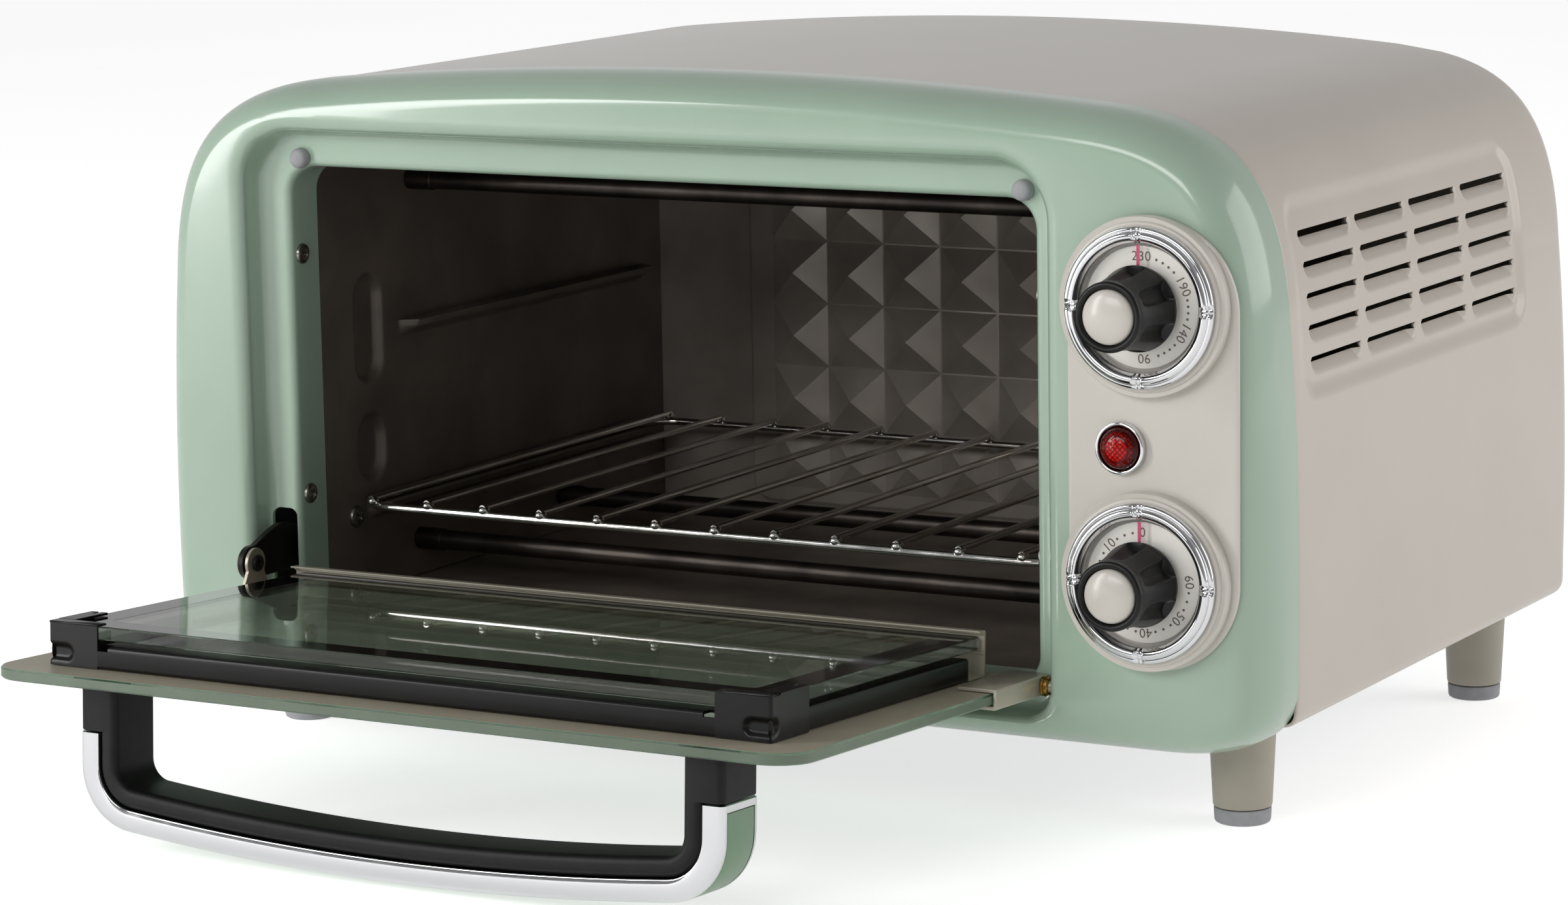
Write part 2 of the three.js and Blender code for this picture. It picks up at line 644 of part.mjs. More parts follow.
// Hinge bracket: a clip folded round the glass edge, with the hinge pin
// riveted to its web. The left one also carries the lug of the door link.
function hingeBracket(inwards) {
  const web = DOOR_MIDDLE - inwards * (GLASS.half + GAP);
  const out = web - inwards;
  const span = (a, b) => [Math.min(a, b), Math.max(a, b)];
  const [px0, px1] = span(out, web + inwards * 11);
  const [wx0, wx1] = span(out, web);
  const [nx0, nx1] = span(web, out - inwards * 6);
  const rear = GLASS.hinge;
  const parts = [
    box(px0, px1, -29, rear, frameLow, frameLow + 1),
    box(px0, px1, -29, rear, -frameLow - 1, -frameLow),
    box(wx0, wx1, -29, rear, -frameLow - 0.5, frameLow + 0.5),
    rodX(0, 0, PIN_RADIUS, nx0, nx1),
  ];
  if (inwards > 0) {
    const { x0, x1, y, z, radius } = LUG;
    const outline = [...arc(y, z, radius, -0.5, Math.PI + 0.5, 10), new THREE.Vector2(y - 7, frameLow + 0.5),
      new THREE.Vector2(y + 6, frameLow + 0.5)];
    parts.push(cut(prismX(outline, x0, x1), rodX(y, z, 1.75, x0 - 1, x1 + 1)));
  }
  return join(...parts);
}

function hingeBush(inwards) {
  const near = DOOR_MIDDLE - inwards * (GLASS.half + GAP + 1 + GAP);
  const far = near - inwards * BUSH.length;
  const bush = rodX(0, 0, BUSH.radius, Math.min(near, far), Math.max(near, far), 20);
  return cut(bush, rodX(0, 0, PIN_RADIUS + 0.15, -200, 200, 20));
}

// Link between the door and its spring inside the housing, level at rest.
function doorLink() {
  const { x0, x1, radius, length } = LINK;
  const tail = new THREE.Vector2(length, -2);
  const outline = [...arc(0, 0, radius, Math.PI / 2, 3 * Math.PI / 2, 8), new THREE.Vector2(length - 6, -6),
    tail, new THREE.Vector2(length, 2), new THREE.Vector2(20, 4.5)];
  const arm = prismX(outline, x0, x1);
  return cut(arm, rodX(0, 0, 1.75, x0 - 1, x1 + 1), rodX(length - 5, -1.5, 1.4, x0 - 1, x1 + 1));
}

function linkRivet() {
  const head = 0.9;
  const inner = LUG.x1 + GAP;
  const outer = LINK.x0 - GAP;
  return join(rodX(0, 0, 1.5, outer - 0.2, inner + 0.2), rodX(0, 0, 3, inner, inner + head),
    rodX(0, 0, 2.6, outer - head, outer));
}

// ---- handle -------------------------------------------------------------------
// The bail's outline in (x, z), a distance in from its outer side: straight
// legs, round corners and a long bow, all tangent.
function bailLine(by, top) {
  const half = BAIL.half - by;
  const bow = BAIL.bow - by;
  const corner = BAIL.corner - by * 0.95;
  const bowCentre = BAIL.bow - BAIL.drop;
  const cornerX = half - corner;
  const cornerZ = bowCentre - Math.sqrt((bow - corner) ** 2 - cornerX ** 2);
  const lean = Math.atan2(cornerX, bowCentre - cornerZ);
  const down = -Math.PI / 2;
  const right = [
    ...arc(0, bowCentre, bow, down, down + lean, 6).slice(0, -1),
    ...arc(cornerX, cornerZ, corner, down + lean, 0, 6),
    new THREE.Vector2(half, top),
  ];
  const all = [...mirrored(right).slice(0, -1), ...right];
  return all.map((point) => new THREE.Vector2(point.x + DOOR_MIDDLE, point.y));
}

// A band of the bail between two distances in from its outer side.
function bailBand(from, to, top, front, rear) {
  const outline = [...bailLine(from, top), ...bailLine(to, top).reverse()];
  return prismY(outline, front, rear);
}

function handleGrip() {
  const { thick, front, rear } = BAIL;
  const whole = bailBand(0, thick, -frameLow, front, rear);
  const seat = bailBand(-1, TRIM.thick + GAP, TRIM.top + GAP, front - 1, rear + 1);
  return cut(whole, seat);
}

function handleTrim() {
  const band = bailBand(0, TRIM.thick, TRIM.top, BAIL.front, BAIL.rear);
  const groove = bailBand(-1, INSERT.thick + GAP, INSERT.top + GAP, INSERT.front - GAP, INSERT.rear + GAP);
  return cut(band, groove);
}

function handleInsert() {
  return bailBand(0, INSERT.thick, INSERT.top, INSERT.front, INSERT.rear);
}

// ---- assembly -----------------------------------------------------------------
const oven = new THREE.Group();
const door = new THREE.Group();

function add(parent, name, geometry, material) {
  const mesh = new THREE.Mesh(weld(geometry), material);
  mesh.name = name;
  parent.add(mesh);
  return mesh;
}

add(oven, 'front_fascia', frontFascia(), green);
add(oven, 'body_wrap', bodyWrap(), cream);
add(oven, 'back_cover', backCover(), cream);
add(oven, 'base_plate', basePlate(), zinc);
add(oven, 'cord_gland', cordGland(), blackPlastic);

add(oven, 'cavity_left_wall', cavitySide(CAVITY.x0, 1), liner);
add(oven, 'cavity_right_wall', cavitySide(CAVITY.x1, -1), liner);
const lidX = [CAVITY.x0 - LINER, CAVITY.x1 + LINER];
const lidY = [CAVITY.y0, CAVITY.y1 - GAP];
add(oven, 'cavity_top', box(...lidX, ...lidY, CAVITY.z1, CAVITY.z1 + LINER), liner);
add(oven, 'cavity_floor', box(...lidX, ...lidY, CAVITY.z0 - LINER, CAVITY.z0), liner);
add(oven, 'cavity_back', cavityBack(), liner);
for (const [place, [y, z]] of Object.entries(HEATERS)) {
  const tube = rodX(y, z, HEATER_RADIUS, CAVITY.x0 + GAP, CAVITY.x1 - GAP, 10);
  add(oven, `heating_tube_${place}`, tube, zinc);
}
add(oven, 'wire_rack', wireRack(), chrome);
for (const [side, x] of [['left', -134.7], ['right', 108.6]]) {
  const profile = [[0, 6.4], [2.6, 6.4], [3.1, 7], [3.1, 9.7], [0, 9.7]];
  add(oven, `door_bumper_${side}`, turned(profile, x, 181, 16), rubber);
}

add(oven, 'control_plate', controlPlate(), ivory);
for (const [dial, z] of Object.entries(DIAL_Z)) {
  add(oven, `${dial}_ring`, dialRing(z), chrome);
  add(oven, `${dial}_window`, dialWindow(z), glass);
  add(oven, `${dial}_disc`, dialDisc(z), ivory);
  add(oven, `${dial}_knob`, controlKnob(z), blackPlastic);
  add(oven, `${dial}_knob_cap`, knobCap(z), ivory);
  add(oven, `${dial}_shaft`, dialShaft(z), zinc);
}
add(oven, 'thermostat', switchBody(DIAL_Z.temperature, 15, 34), blackPlastic);
add(oven, 'timer', switchBody(DIAL_Z.timer, 22, 46), zinc);
const bezel = [[LAMP.lens + 0.3, -1.8], [LAMP.bezel, -1.8], [LAMP.bezel, -3.2], [6.8, -4], [6.4, -3.8],
  [LAMP.lens + 0.3, -1.8]];
add(oven, 'lamp_bezel', turned(bezel, LAMP.x, LAMP.z), chrome);
const lens = [[0, -6], [2.6, -5.7], [4.6, -4.9], [LAMP.lens, -3.4], [LAMP.lens, 14], [0, 14]];
add(oven, 'lamp_lens', turned(lens, LAMP.x, LAMP.z), red);

for (const [row, y] of [['front', FOOT.front], ['rear', FOOT.rear]]) {
  for (const [side, x] of [['left', -FOOT.x], ['right', FOOT.x]]) {
    const top = BASE_Z - GAP;
    const leg = new THREE.CylinderGeometry(FOOT.top, FOOT.foot + 0.3, top - FOOT.tip - GAP, 24);
    leg.rotateX(Math.PI / 2).translate(x, y, (top + FOOT.tip + GAP) / 2);
    add(oven, `foot_${row}_${side}`, leg, cream);
    const tip = new THREE.CylinderGeometry(FOOT.foot + 0.2, FOOT.foot, FOOT.tip, 24);
    tip.rotateX(Math.PI / 2).translate(x, y, FOOT.tip / 2);
    add(oven, `foot_tip_${row}_${side}`, tip, rubber);
  }
}

add(door, 'door_glass_outer', doorGlass(), glass);
add(door, 'door_glass_inner', doorPane(), glass);
add(door, 'door_channel_front', frontChannel(), blackMetal);
add(door, 'door_channel_left', sideChannel(FRAME.x0, 1), blackMetal);
add(door, 'door_channel_right', sideChannel(FRAME.x1, -1), blackMetal);
add(door, 'door_corner_clip_left', cornerClip(FRAME.x0, 1), blackMetal);
add(door, 'door_corner_clip_right', cornerClip(FRAME.x1, -1), blackMetal);
add(door, 'door_hinge_rail', hingeRail(), cream);
add(door, 'hinge_bracket_left', hingeBracket(1), cream);
add(door, 'hinge_bracket_right', hingeBracket(-1), cream);
add(door, 'hinge_bush_left', hingeBush(1), brass);
add(door, 'hinge_bush_right', hingeBush(-1), brass);
add(door, 'handle_grip', handleGrip(), blackPlastic);
add(door, 'handle_trim', handleTrim(), chrome);
add(door, 'handle_insert', handleInsert(), green);

// The link and its rivet sit at the lug and stay level, so their group turns
// back by the door's tilt.
const link = new THREE.Group();
link.position.set(0, LUG.y, LUG.z);
link.rotation.x = DOOR_TILT;
add(link, 'door_link', doorLink(), blackMetal);
add(link, 'link_rivet', linkRivet(), zinc);
door.add(link);

door.position.set(0, HINGE.y, HINGE.z);
door.rotation.x = -DOOR_TILT;
oven.add(door);

// Origin under the middle of the bounding box.
oven.updateMatrixWorld(true);
const bounds = new THREE.Box3().setFromObject(oven, true);
const middle = bounds.getCenter(new THREE.Vector3());
oven.position.set(-middle.x, -middle.y, -bounds.min.z);
oven.updateMatrixWorld(true);

export default oven;
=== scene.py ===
import math

import bmesh
import bpy
import numpy as np
from mathutils import Matrix, Vector


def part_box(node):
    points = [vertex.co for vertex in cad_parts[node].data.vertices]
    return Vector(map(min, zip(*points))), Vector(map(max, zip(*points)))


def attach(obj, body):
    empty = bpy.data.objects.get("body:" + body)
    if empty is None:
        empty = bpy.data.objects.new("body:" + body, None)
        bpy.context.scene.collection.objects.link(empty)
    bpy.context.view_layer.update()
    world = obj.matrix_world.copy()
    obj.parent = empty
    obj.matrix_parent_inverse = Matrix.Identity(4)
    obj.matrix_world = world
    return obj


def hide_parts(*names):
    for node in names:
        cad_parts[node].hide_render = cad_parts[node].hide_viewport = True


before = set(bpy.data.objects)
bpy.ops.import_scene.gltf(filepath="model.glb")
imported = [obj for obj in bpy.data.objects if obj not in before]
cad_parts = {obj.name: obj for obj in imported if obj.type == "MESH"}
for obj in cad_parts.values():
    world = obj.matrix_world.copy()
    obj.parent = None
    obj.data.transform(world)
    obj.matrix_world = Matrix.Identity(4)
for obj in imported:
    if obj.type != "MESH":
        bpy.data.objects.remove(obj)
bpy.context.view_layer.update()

# ---- camera -------------------------------------------------------------------------------
# A long lens from the front right, a little above the oven, tipped one degree sideways.
MM = 0.001
CAMERA_PLACE = Vector((0.69432, -1.21798, 0.32882))
CAMERA_AZIMUTH = math.radians(29.481)
CAMERA_ELEVATION = math.radians(9.549)
CAMERA_ROLL = math.radians(-0.9995)

camera = bpy.data.objects.new("camera", bpy.data.cameras.new("camera"))
camera.data.lens = 109.14
camera.data.sensor_width = 36
level = Vector((math.sin(CAMERA_AZIMUTH), -math.cos(CAMERA_AZIMUTH), 0))
backwards = level * math.cos(CAMERA_ELEVATION) + Vector((0, 0, math.sin(CAMERA_ELEVATION)))
turned_camera = backwards.to_track_quat("Z", "Y") @ Matrix.Rotation(CAMERA_ROLL, 4, "Z").to_quaternion()
camera.matrix_world = Matrix.LocRotScale(CAMERA_PLACE, turned_camera, None)
bpy.context.scene.collection.objects.link(camera)
bpy.context.scene.camera = camera

# ---- studio -------------------------------------------------------------------------------
# A white paper sweep lit by three soft boxes: a broad one on the right and a little behind, a
# tall strip on the left for the long lights in the enamel, and a wide one high at the front.
PAPER = "#ffffff"
SWEEP = 6.0


def srgb(code):
    """A hex colour as linear red, green, blue and alpha."""
    channels = [int(code[i:i + 2], 16) / 255 for i in (1, 3, 5)]
    linear = [c / 12.92 if c <= 0.04045 else ((c + 0.055) / 1.055) ** 2.4 for c in channels]
    return (*linear, 1)


def add_node(tree, kind, inputs=None, **settings):
    """Adds a node, sets its properties, and sets or links its sockets."""
    node = tree.nodes.new(kind)
    for name, value in settings.items():
        setattr(node, name, value)
    for socket, value in (inputs or {}).items():
        if isinstance(value, bpy.types.NodeSocket):
            tree.links.new(value, node.inputs[socket])
        else:
            node.inputs[socket].default_value = value
    return node


def new_finish(name, color, roughness, **surface):
    """A material with the constants of its surface set on the shader's own sockets."""
    material = bpy.data.materials.new(name)
    material.use_nodes = True
    shader = material.node_tree.nodes["Principled BSDF"]
    shader.inputs["Base Color"].default_value = srgb(color)
    shader.inputs["Roughness"].default_value = roughness
    for socket, value in surface.items():
        shader.inputs[socket.replace("_", " ")].default_value = value
    material.diffuse_color = srgb(color)
    return material


def noise_on(tree, size, detail):
    """Noise in the piece's own place, its waves of the given width in mm."""
    place = add_node(tree, "ShaderNodeTexCoord")
    noise = add_node(tree, "ShaderNodeTexNoise", {
        "Vector": place.outputs["Object"], "Scale": 1 / (size * MM), "Detail": detail})
    return noise.outputs["Fac"]


def ripple(material, size, height, detail=2.0):
    """Uneven relief: size is the width of one wave and height its depth, in mm."""
    tree = material.node_tree
    bump = add_node(tree, "ShaderNodeBump", {
        "Height": noise_on(tree, size, detail), "Distance": height * MM, "Strength": 1.0})
    tree.links.new(bump.outputs["Normal"], tree.nodes["Principled BSDF"].inputs["Normal"])


def mottle(material, color, other, size, detail=3.0):
    """Colour that drifts between two shades over patches of the given size, in mm."""
    tree = material.node_tree
    spread = add_node(tree, "ShaderNodeMapRange", {
        "Value": noise_on(tree, size, detail), "From Min": 0.35, "From Max": 0.65})
    mix = add_node(tree, "ShaderNodeMix", {
        "Factor": spread.outputs["Result"], 6: srgb(color), 7: srgb(other)}, data_type="RGBA")
    tree.links.new(mix.outputs[2], tree.nodes["Principled BSDF"].inputs["Base Color"])


def smudge(material, smooth, rough, size):
    """Roughness that wanders between two values over patches of the given size, in mm."""
    tree = material.node_tree
    spread = add_node(tree, "ShaderNodeMapRange", {
        "Value": noise_on(tree, size, 4.0), "From Min": 0.3, "From Max": 0.7, "To Min": smooth,
        "To Max": rough})
    tree.links.new(spread.outputs["Result"], tree.nodes["Principled BSDF"].inputs["Roughness"])


# Matt white paper with a little light of its own, stronger to the eye than on the oven.
paper = new_finish("white_paper", PAPER, 0.9)
mottle(paper, PAPER, "#fbfbfb", 300)
paper_shader = paper.node_tree.nodes["Principled BSDF"]
paper_shader.inputs["Emission Color"].default_value = srgb(PAPER)
paper_seen = add_node(paper.node_tree, "ShaderNodeLightPath")
paper_lift = add_node(paper.node_tree, "ShaderNodeMapRange", {
    "Value": paper_seen.outputs["Is Camera Ray"], "To Min": 0.3, "To Max": 0.62})
paper.node_tree.links.new(paper_lift.outputs["Result"], paper_shader.inputs["Emission Strength"])
floor = bpy.data.objects.new("floor", bpy.data.meshes.new("floor"))
floor.data.from_pydata([(-SWEEP, -SWEEP, 0), (SWEEP, -SWEEP, 0), (SWEEP, SWEEP, 0), (-SWEEP, SWEEP, 0)], [],
                       [(0, 1, 2, 3)])
floor.data.materials.append(paper)
bpy.context.scene.collection.objects.link(floor)

SOFT_BOXES = {
    "right_box": {"at": (1.7, 0.9, 0.7), "size": (1.5, 1.2), "watts": 9.5},
    "left_strip": {"at": (-1.3, -1.5, 0.7), "size": (0.4, 1.5), "watts": 17},
    "front_box": {"at": (-0.2, -2.4, 1.2), "size": (1.5, 0.7), "watts": 16},
}
LIGHT_AIM = Vector((0, 0, 0.1))
for name, box in SOFT_BOXES.items():
    light = bpy.data.lights.new(name, "AREA")
    light.shape = "RECTANGLE"
    light.size, light.size_y = box["size"]
    light.energy = box["watts"]
    lamp = bpy.data.objects.new(name, light)
    aim = Vector(box["at"]) - LIGHT_AIM
    lamp.matrix_world = Matrix.LocRotScale(Vector(box["at"]), aim.to_track_quat("Z", "Y"), None)
    bpy.context.scene.collection.objects.link(lamp)

# The room round it: brightest near the horizon, dimmer overhead and on the viewer's side.
world = bpy.data.worlds.new("studio")
world.use_nodes = True
sky = world.node_tree
sky_way = add_node(sky, "ShaderNodeTexCoord")
sky_height = add_node(sky, "ShaderNodeSeparateXYZ", {"Vector": sky_way.outputs["Generated"]})
sky_fall = add_node(sky, "ShaderNodeMapRange", {
    "Value": sky_height.outputs["Z"], "From Min": 0.0, "From Max": 0.8, "To Min": 0.62, "To Max": 0.3})
sky_room = add_node(sky, "ShaderNodeMapRange", {
    "Value": sky_height.outputs["Y"], "From Min": -0.9, "From Max": 0.1, "To Min": 0.3, "To Max": 1.0})
sky_level = add_node(sky, "ShaderNodeMath", {
    0: sky_fall.outputs["Result"], 1: sky_room.outputs["Result"]}, operation="MULTIPLY")
sky.links.new(sky_level.outputs[0], sky.nodes["Background"].inputs["Strength"])
sky.nodes["Background"].inputs["Color"].default_value = (1, 1, 1, 1)
bpy.context.scene.world = world
bpy.context.scene.view_settings.view_transform = "Standard"

# ---- front fascia -------------------------------------------------------------------------
# The pressed steel front: one sheet drawn over a rounded shoulder, dished for the door, and
# folded back round the oven's mouth. It is stove-enamelled in mint green and screwed to the
# cavity through its flange.
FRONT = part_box("front_fascia")[0].y / MM
FASCIA_DEPTH = 24.5
SHOULDER_IN = 10.0
SHOULDER_BACK = 18.0
FASCIA_SHEET = 1.0
FOOT_LINE = 24.7
MOUTH = {"x0": -139.9, "x1": 111.3, "z0": 42.0, "z1": 178.4, "top": 9.0, "bottom": 7.0}
DISH = {"x0": -151.0, "x1": 119.0, "z0": 33.5, "z1": 190.0, "top": 17.0, "bottom": 8.0}
DISH_DEPTH = 10.0
LIP_WIDE, LIP_DEEP = 4.2, 3.6
COVE = 3.0
MOUTH_ROLL = 2.4
LINK_SLOT = {"x0": -149.5, "x1": -141.2, "z0": 38.5, "z1": 73.0, "top": 2.4, "bottom": 4.0}
PIN_HEIGHT = 42.3
PIN_BACK = 4.5
PIN_HOLE = 2.05
SHAFT_HOLE = 7.0
DIAL_X = 151.2
DIAL_Z = {"temperature": 152.3, "timer": 76.3}
LAMP_X, LAMP_Z = 143.4, 112.7


def body_place(points):
    """Points drawn from the front face and the feet, in mm, as places in the frame."""
    return (np.asarray(points, float) + (0, FRONT, 0)) * MM


def settle(piece):
    """Turns a piece's live modifiers into plain mesh."""
    graph = bpy.context.evaluated_depsgraph_get()
    mesh = bpy.data.meshes.new_from_object(piece.evaluated_get(graph))
    piece.modifiers.clear()
    piece.data = mesh
    return piece


def shade(piece, sharp=32.0):
    """Smooth faces that break at edges sharper than the given angle, if there is one."""
    piece.data.polygons.foreach_set("use_smooth", [True] * len(piece.data.polygons))
    if sharp:
        piece.data.set_sharp_from_angle(angle=math.radians(sharp))
    return piece


def make_piece(name, points, faces, finish, thick=0.0, bevel=0.0, sharp=32.0, place=body_place,
               facing=None):
    """A piece of welded mesh with its faces outwards, thickened inwards and bevelled, in mm.
    An open sheet's outer side is the one that its furthest face in the given direction shows."""
    mesh = bpy.data.meshes.new(name)
    mesh.from_pydata([tuple(p) for p in place(points)], [], faces)
    shape = bmesh.new()
    shape.from_mesh(mesh)
    bmesh.ops.remove_doubles(shape, verts=shape.verts, dist=0.0005 * MM)
    bmesh.ops.recalc_face_normals(shape, faces=shape.faces)
    if facing is not None:
        furthest = max(shape.faces, key=lambda face: face.calc_center_median().dot(Vector(facing)))
        if furthest.normal.dot(Vector(facing)) < 0:
            bmesh.ops.reverse_faces(shape, faces=shape.faces)
    shape.to_mesh(mesh)
    shape.free()
    mesh.materials.append(finish)
    piece = bpy.data.objects.new(name, mesh)
    bpy.context.scene.collection.objects.link(piece)
    if thick:
        wall = piece.modifiers.new("sheet", "SOLIDIFY")
        wall.thickness = thick * MM
        wall.offset = -1
        wall.use_quality_normals = True
    if bevel:
        edge = piece.modifiers.new("edge", "BEVEL")
        edge.width = bevel * MM
        edge.segments = 2
        edge.limit_method = "ANGLE"
        edge.angle_limit = math.radians(sharp)
        edge.harden_normals = True
    if thick or bevel:
        settle(piece)
    return shade(piece, None if bevel else sharp)


def cut_away(piece, solids, operation="DIFFERENCE", place=body_place):
    """Cuts closed solids out of a piece, or joins them on. Each solid is points and faces in mm."""
    points, faces = [], []
    for solid_points, solid_faces in solids:
        start = len(points)
        points += list(solid_points)
        faces += [tuple(start + i for i in face) for face in solid_faces]
    cutter = make_piece("cutter", points, faces, piece.data.materials[0], place=place)
    tool = piece.modifiers.new("cut", "BOOLEAN")
    tool.operation = operation
    tool.solver = "MANIFOLD"
    tool.object = cutter
    settle(piece)
    bpy.data.objects.remove(cutter)
    return shade(piece)


def ride_and_replace(piece, body, slot, *nodes):
    """Puts a piece on its body, in place of the nodes that it shows. Its slot is not used."""
    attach(piece, body)
    if nodes:
        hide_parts(*nodes)
    return piece


def skin(rings, loop=True, caps=True, closed=False):
    """Faces through rings of points that all have the same count."""
    count = len(rings[0])
    points = np.concatenate([np.asarray(ring, float) for ring in rings])
    levels = len(rings) if closed else len(rings) - 1
    faces = []
    for row in range(levels):
        for i in range(count if loop else count - 1):
            a, b = row * count + i, row * count + (i + 1) % count
            up = count if row + 1 < len(rings) else -row * count
            faces.append((a, b, b + up, a + up))
    if caps and not closed:
        faces.append(tuple(range(count))[::-1])
        faces.append(tuple(range(len(points) - count, len(points))))
    return points, faces


def bezier(start, first, second, end, steps=40):
    """Points of a cubic curve between two ends, drawn by its two handles."""
    t = np.linspace(0, 1, steps + 1)[:, None]
    corners = [np.asarray(p, float) for p in (start, first, second, end)]
    weights = [(1 - t) ** 3, 3 * t * (1 - t) ** 2, 3 * t ** 2 * (1 - t), t ** 3]
    return sum(weight * corner for weight, corner in zip(weights, corners))


def arc(across, up, radius, start, end, steps=8):
    """Points of a circle's arc, anticlockwise from one bearing to another in degrees."""
    angle = np.radians(np.linspace(start, end, steps + 1))
    return np.stack([across + radius * np.cos(angle), up + radius * np.sin(angle)], axis=1)


def rounded(x0, x1, z0, z1, top, bottom, steps=10):
    """A rounded rectangle, anticlockwise from its lower right corner."""
    return np.concatenate([
        arc(x1 - bottom, z0 + bottom, bottom, -90, 0, steps),
        arc(x1 - top, z1 - top, top, 0, 90, steps),
        arc(x0 + top, z1 - top, top, 90, 180, steps),
        arc(x0 + bottom, z0 + bottom, bottom, 180, 270, steps)])


def grown(shape, by, steps=24):
    """A named rounded rectangle made larger on every side."""
    return rounded(shape["x0"] - by, shape["x1"] + by, shape["z0"] - by, shape["z1"] + by,
                   max(shape["top"] + by, 0.5), max(shape["bottom"] + by, 0.5), steps)


def inset(points, by, loop=True):
    """Moves an anticlockwise outline inwards."""
    if loop:
        along = np.roll(points, -1, axis=0) - np.roll(points, 1, axis=0)
    else:
        along = np.gradient(points, axis=0)
    along = along / np.linalg.norm(along, axis=1)[:, None]
    return points + np.stack([-along[:, 1], along[:, 0]], axis=1) * by


def stand(outline, y):
    """An (x, z) outline put at a distance back from the front face."""
    return np.insert(np.asarray(outline, float), 1, y, axis=1)


def prism(outline, y0, y1):
    """An (x, z) outline carried straight back from one depth to another."""
    return skin([stand(outline, y0), stand(outline, y1)])


def crown(steps=40):
    """The right side of the body's outline, from 20 mm above its foot line to the middle of the top."""
    lower = bezier((184.6, 44.6), (185.4, 78), (184.6, 115), (182.1, 144.8), steps)
    corner = bezier((182.1, 144.8), (179.9, 188.5), (163.3, 201.6), (128.2, 204.8), steps)
    top = bezier((128.2, 204.8), (86, 208.6), (43, 210.5), (0, 210.5), steps)
    return np.concatenate([lower[:-1], corner[:-1], top])


def evenly(points, step):
    """The same closed outline with points at an even spacing."""
    closed = np.concatenate([points, points[:1]])
    gaps = np.linalg.norm(np.diff(closed, axis=0), axis=1)
    along = np.concatenate([[0], np.cumsum(gaps)])
    wanted = np.arange(0, along[-1], step)
    return np.stack([np.interp(wanted, along, closed[:, k]) for k in (0, 1)], axis=1)


def looking(outline, angles, centre):
    """The points of an outline seen in the given directions from a centre."""
    out = evenly(outline, 0.2) - centre
    bearing = np.arctan2(out[:, 1], out[:, 0])
    order = np.argsort(bearing)
    distance = np.linalg.norm(out, axis=1)[order]
    reach = np.interp(angles, bearing[order], distance, period=2 * math.pi)
    return centre + np.stack([np.cos(angles), np.sin(angles)], axis=1) * reach[:, None]


foot_curve = bezier((150, FOOT_LINE), (174, 24.6), (184.3, 30.5), (184.6, 44.6))
right_half = np.concatenate([[(0, FOOT_LINE)], foot_curve[:-1], crown()])
fascia_outline = np.concatenate([right_half, (right_half * (-1, 1))[::-1][1:-1]])

middle = np.array([(DISH["x0"] + DISH["x1"]) / 2, (DISH["z0"] + DISH["z1"]) / 2])
bearings = [np.linspace(-math.pi, math.pi, 280, endpoint=False)]
for x, z in [("x0", "z0"), ("x0", "z1"), ("x1", "z0"), ("x1", "z1")]:
    for shape in (DISH, MOUTH):
        towards = math.atan2(shape[z] - middle[1], shape[x] - middle[0])
        bearings.append(towards + np.radians(np.arange(-8, 8, 0.35)))
bearings = np.unique(np.round(np.mod(np.concatenate(bearings) + math.pi, 2 * math.pi), 3)) - math.pi


def polar(profile):
    """Radii and depths, per bearing, of outlines that stand at set distances back."""
    radii = [np.linalg.norm(looking(outline, bearings, middle) - middle, axis=1) for outline, _ in profile]
    return np.array(radii), np.array([y for _, y in profile], float)


quarter = np.linspace(math.pi / 2, 0, 17)
shoulder = [(inset(fascia_outline, SHOULDER_IN * (1 - math.sin(t))), SHOULDER_BACK * (1 - math.cos(t)))
            for t in quarter]
lip = [(grown(DISH, LIP_WIDE + 1.0), 0.0)]
lip += [(grown(DISH, LIP_WIDE - LIP_WIDE * math.sin(t)), LIP_DEEP * (1 - math.cos(t)))
        for t in quarter[::-2]]
lip.append((grown(DISH, -0.4), 6.0))
lip += [(grown(DISH, -0.6 - COVE * (1 - math.cos(t))), DISH_DEPTH - COVE + COVE * math.sin(t))
        for t in quarter[::-3]]
shoulder_radii, shoulder_depths = polar(shoulder)
lip_radii, lip_depths = polar(lip)
radii = -np.sort(-np.concatenate([shoulder_radii, lip_radii]), axis=0)
rings = [stand(looking(fascia_outline, bearings, middle), y) for y in (FASCIA_DEPTH, 21.0)]
heading = np.stack([np.cos(bearings), np.sin(bearings)], axis=1)
drawn = np.zeros_like(radii)
for i in range(len(bearings)):
    rounded_off = np.interp(-radii[:, i], -shoulder_radii[:, i], shoulder_depths)
    dished = np.interp(-radii[:, i], -lip_radii[:, i], lip_depths)
    drawn[:, i] = (rounded_off ** 4 + dished ** 4) ** 0.25
for radius, depth in zip(radii, drawn):
    rings.append(np.insert(middle + heading * radius[:, None], 1, depth, axis=1))
mouth = [(grown(MOUTH, MOUTH_ROLL - MOUTH_ROLL * math.sin(t)), DISH_DEPTH + MOUTH_ROLL * (1 - math.cos(t)))
         for t in np.linspace(0, math.pi / 2, 7)]
mouth += [(grown(MOUTH, 0), 16.0), (grown(MOUTH, 0), FASCIA_DEPTH - 0.1)]
rings += [stand(looking(outline, bearings, middle), y) for outline, y in mouth]

# Stove enamel: a wet gloss with a faint orange peel under a clear top layer.
green_enamel = new_finish("mint_stove_enamel", "#a6bca9", 0.2, Coat_Weight=0.6, Coat_Roughness=0.06)
ripple(green_enamel, 6.0, 0.012, 1.0)
mottle(green_enamel, "#a6bca9", "#a2b8a5", 45)

fascia = make_piece("fascia_shell", *skin(rings, caps=False), green_enamel, thick=FASCIA_SHEET,
                    facing=(0, -1, 0))


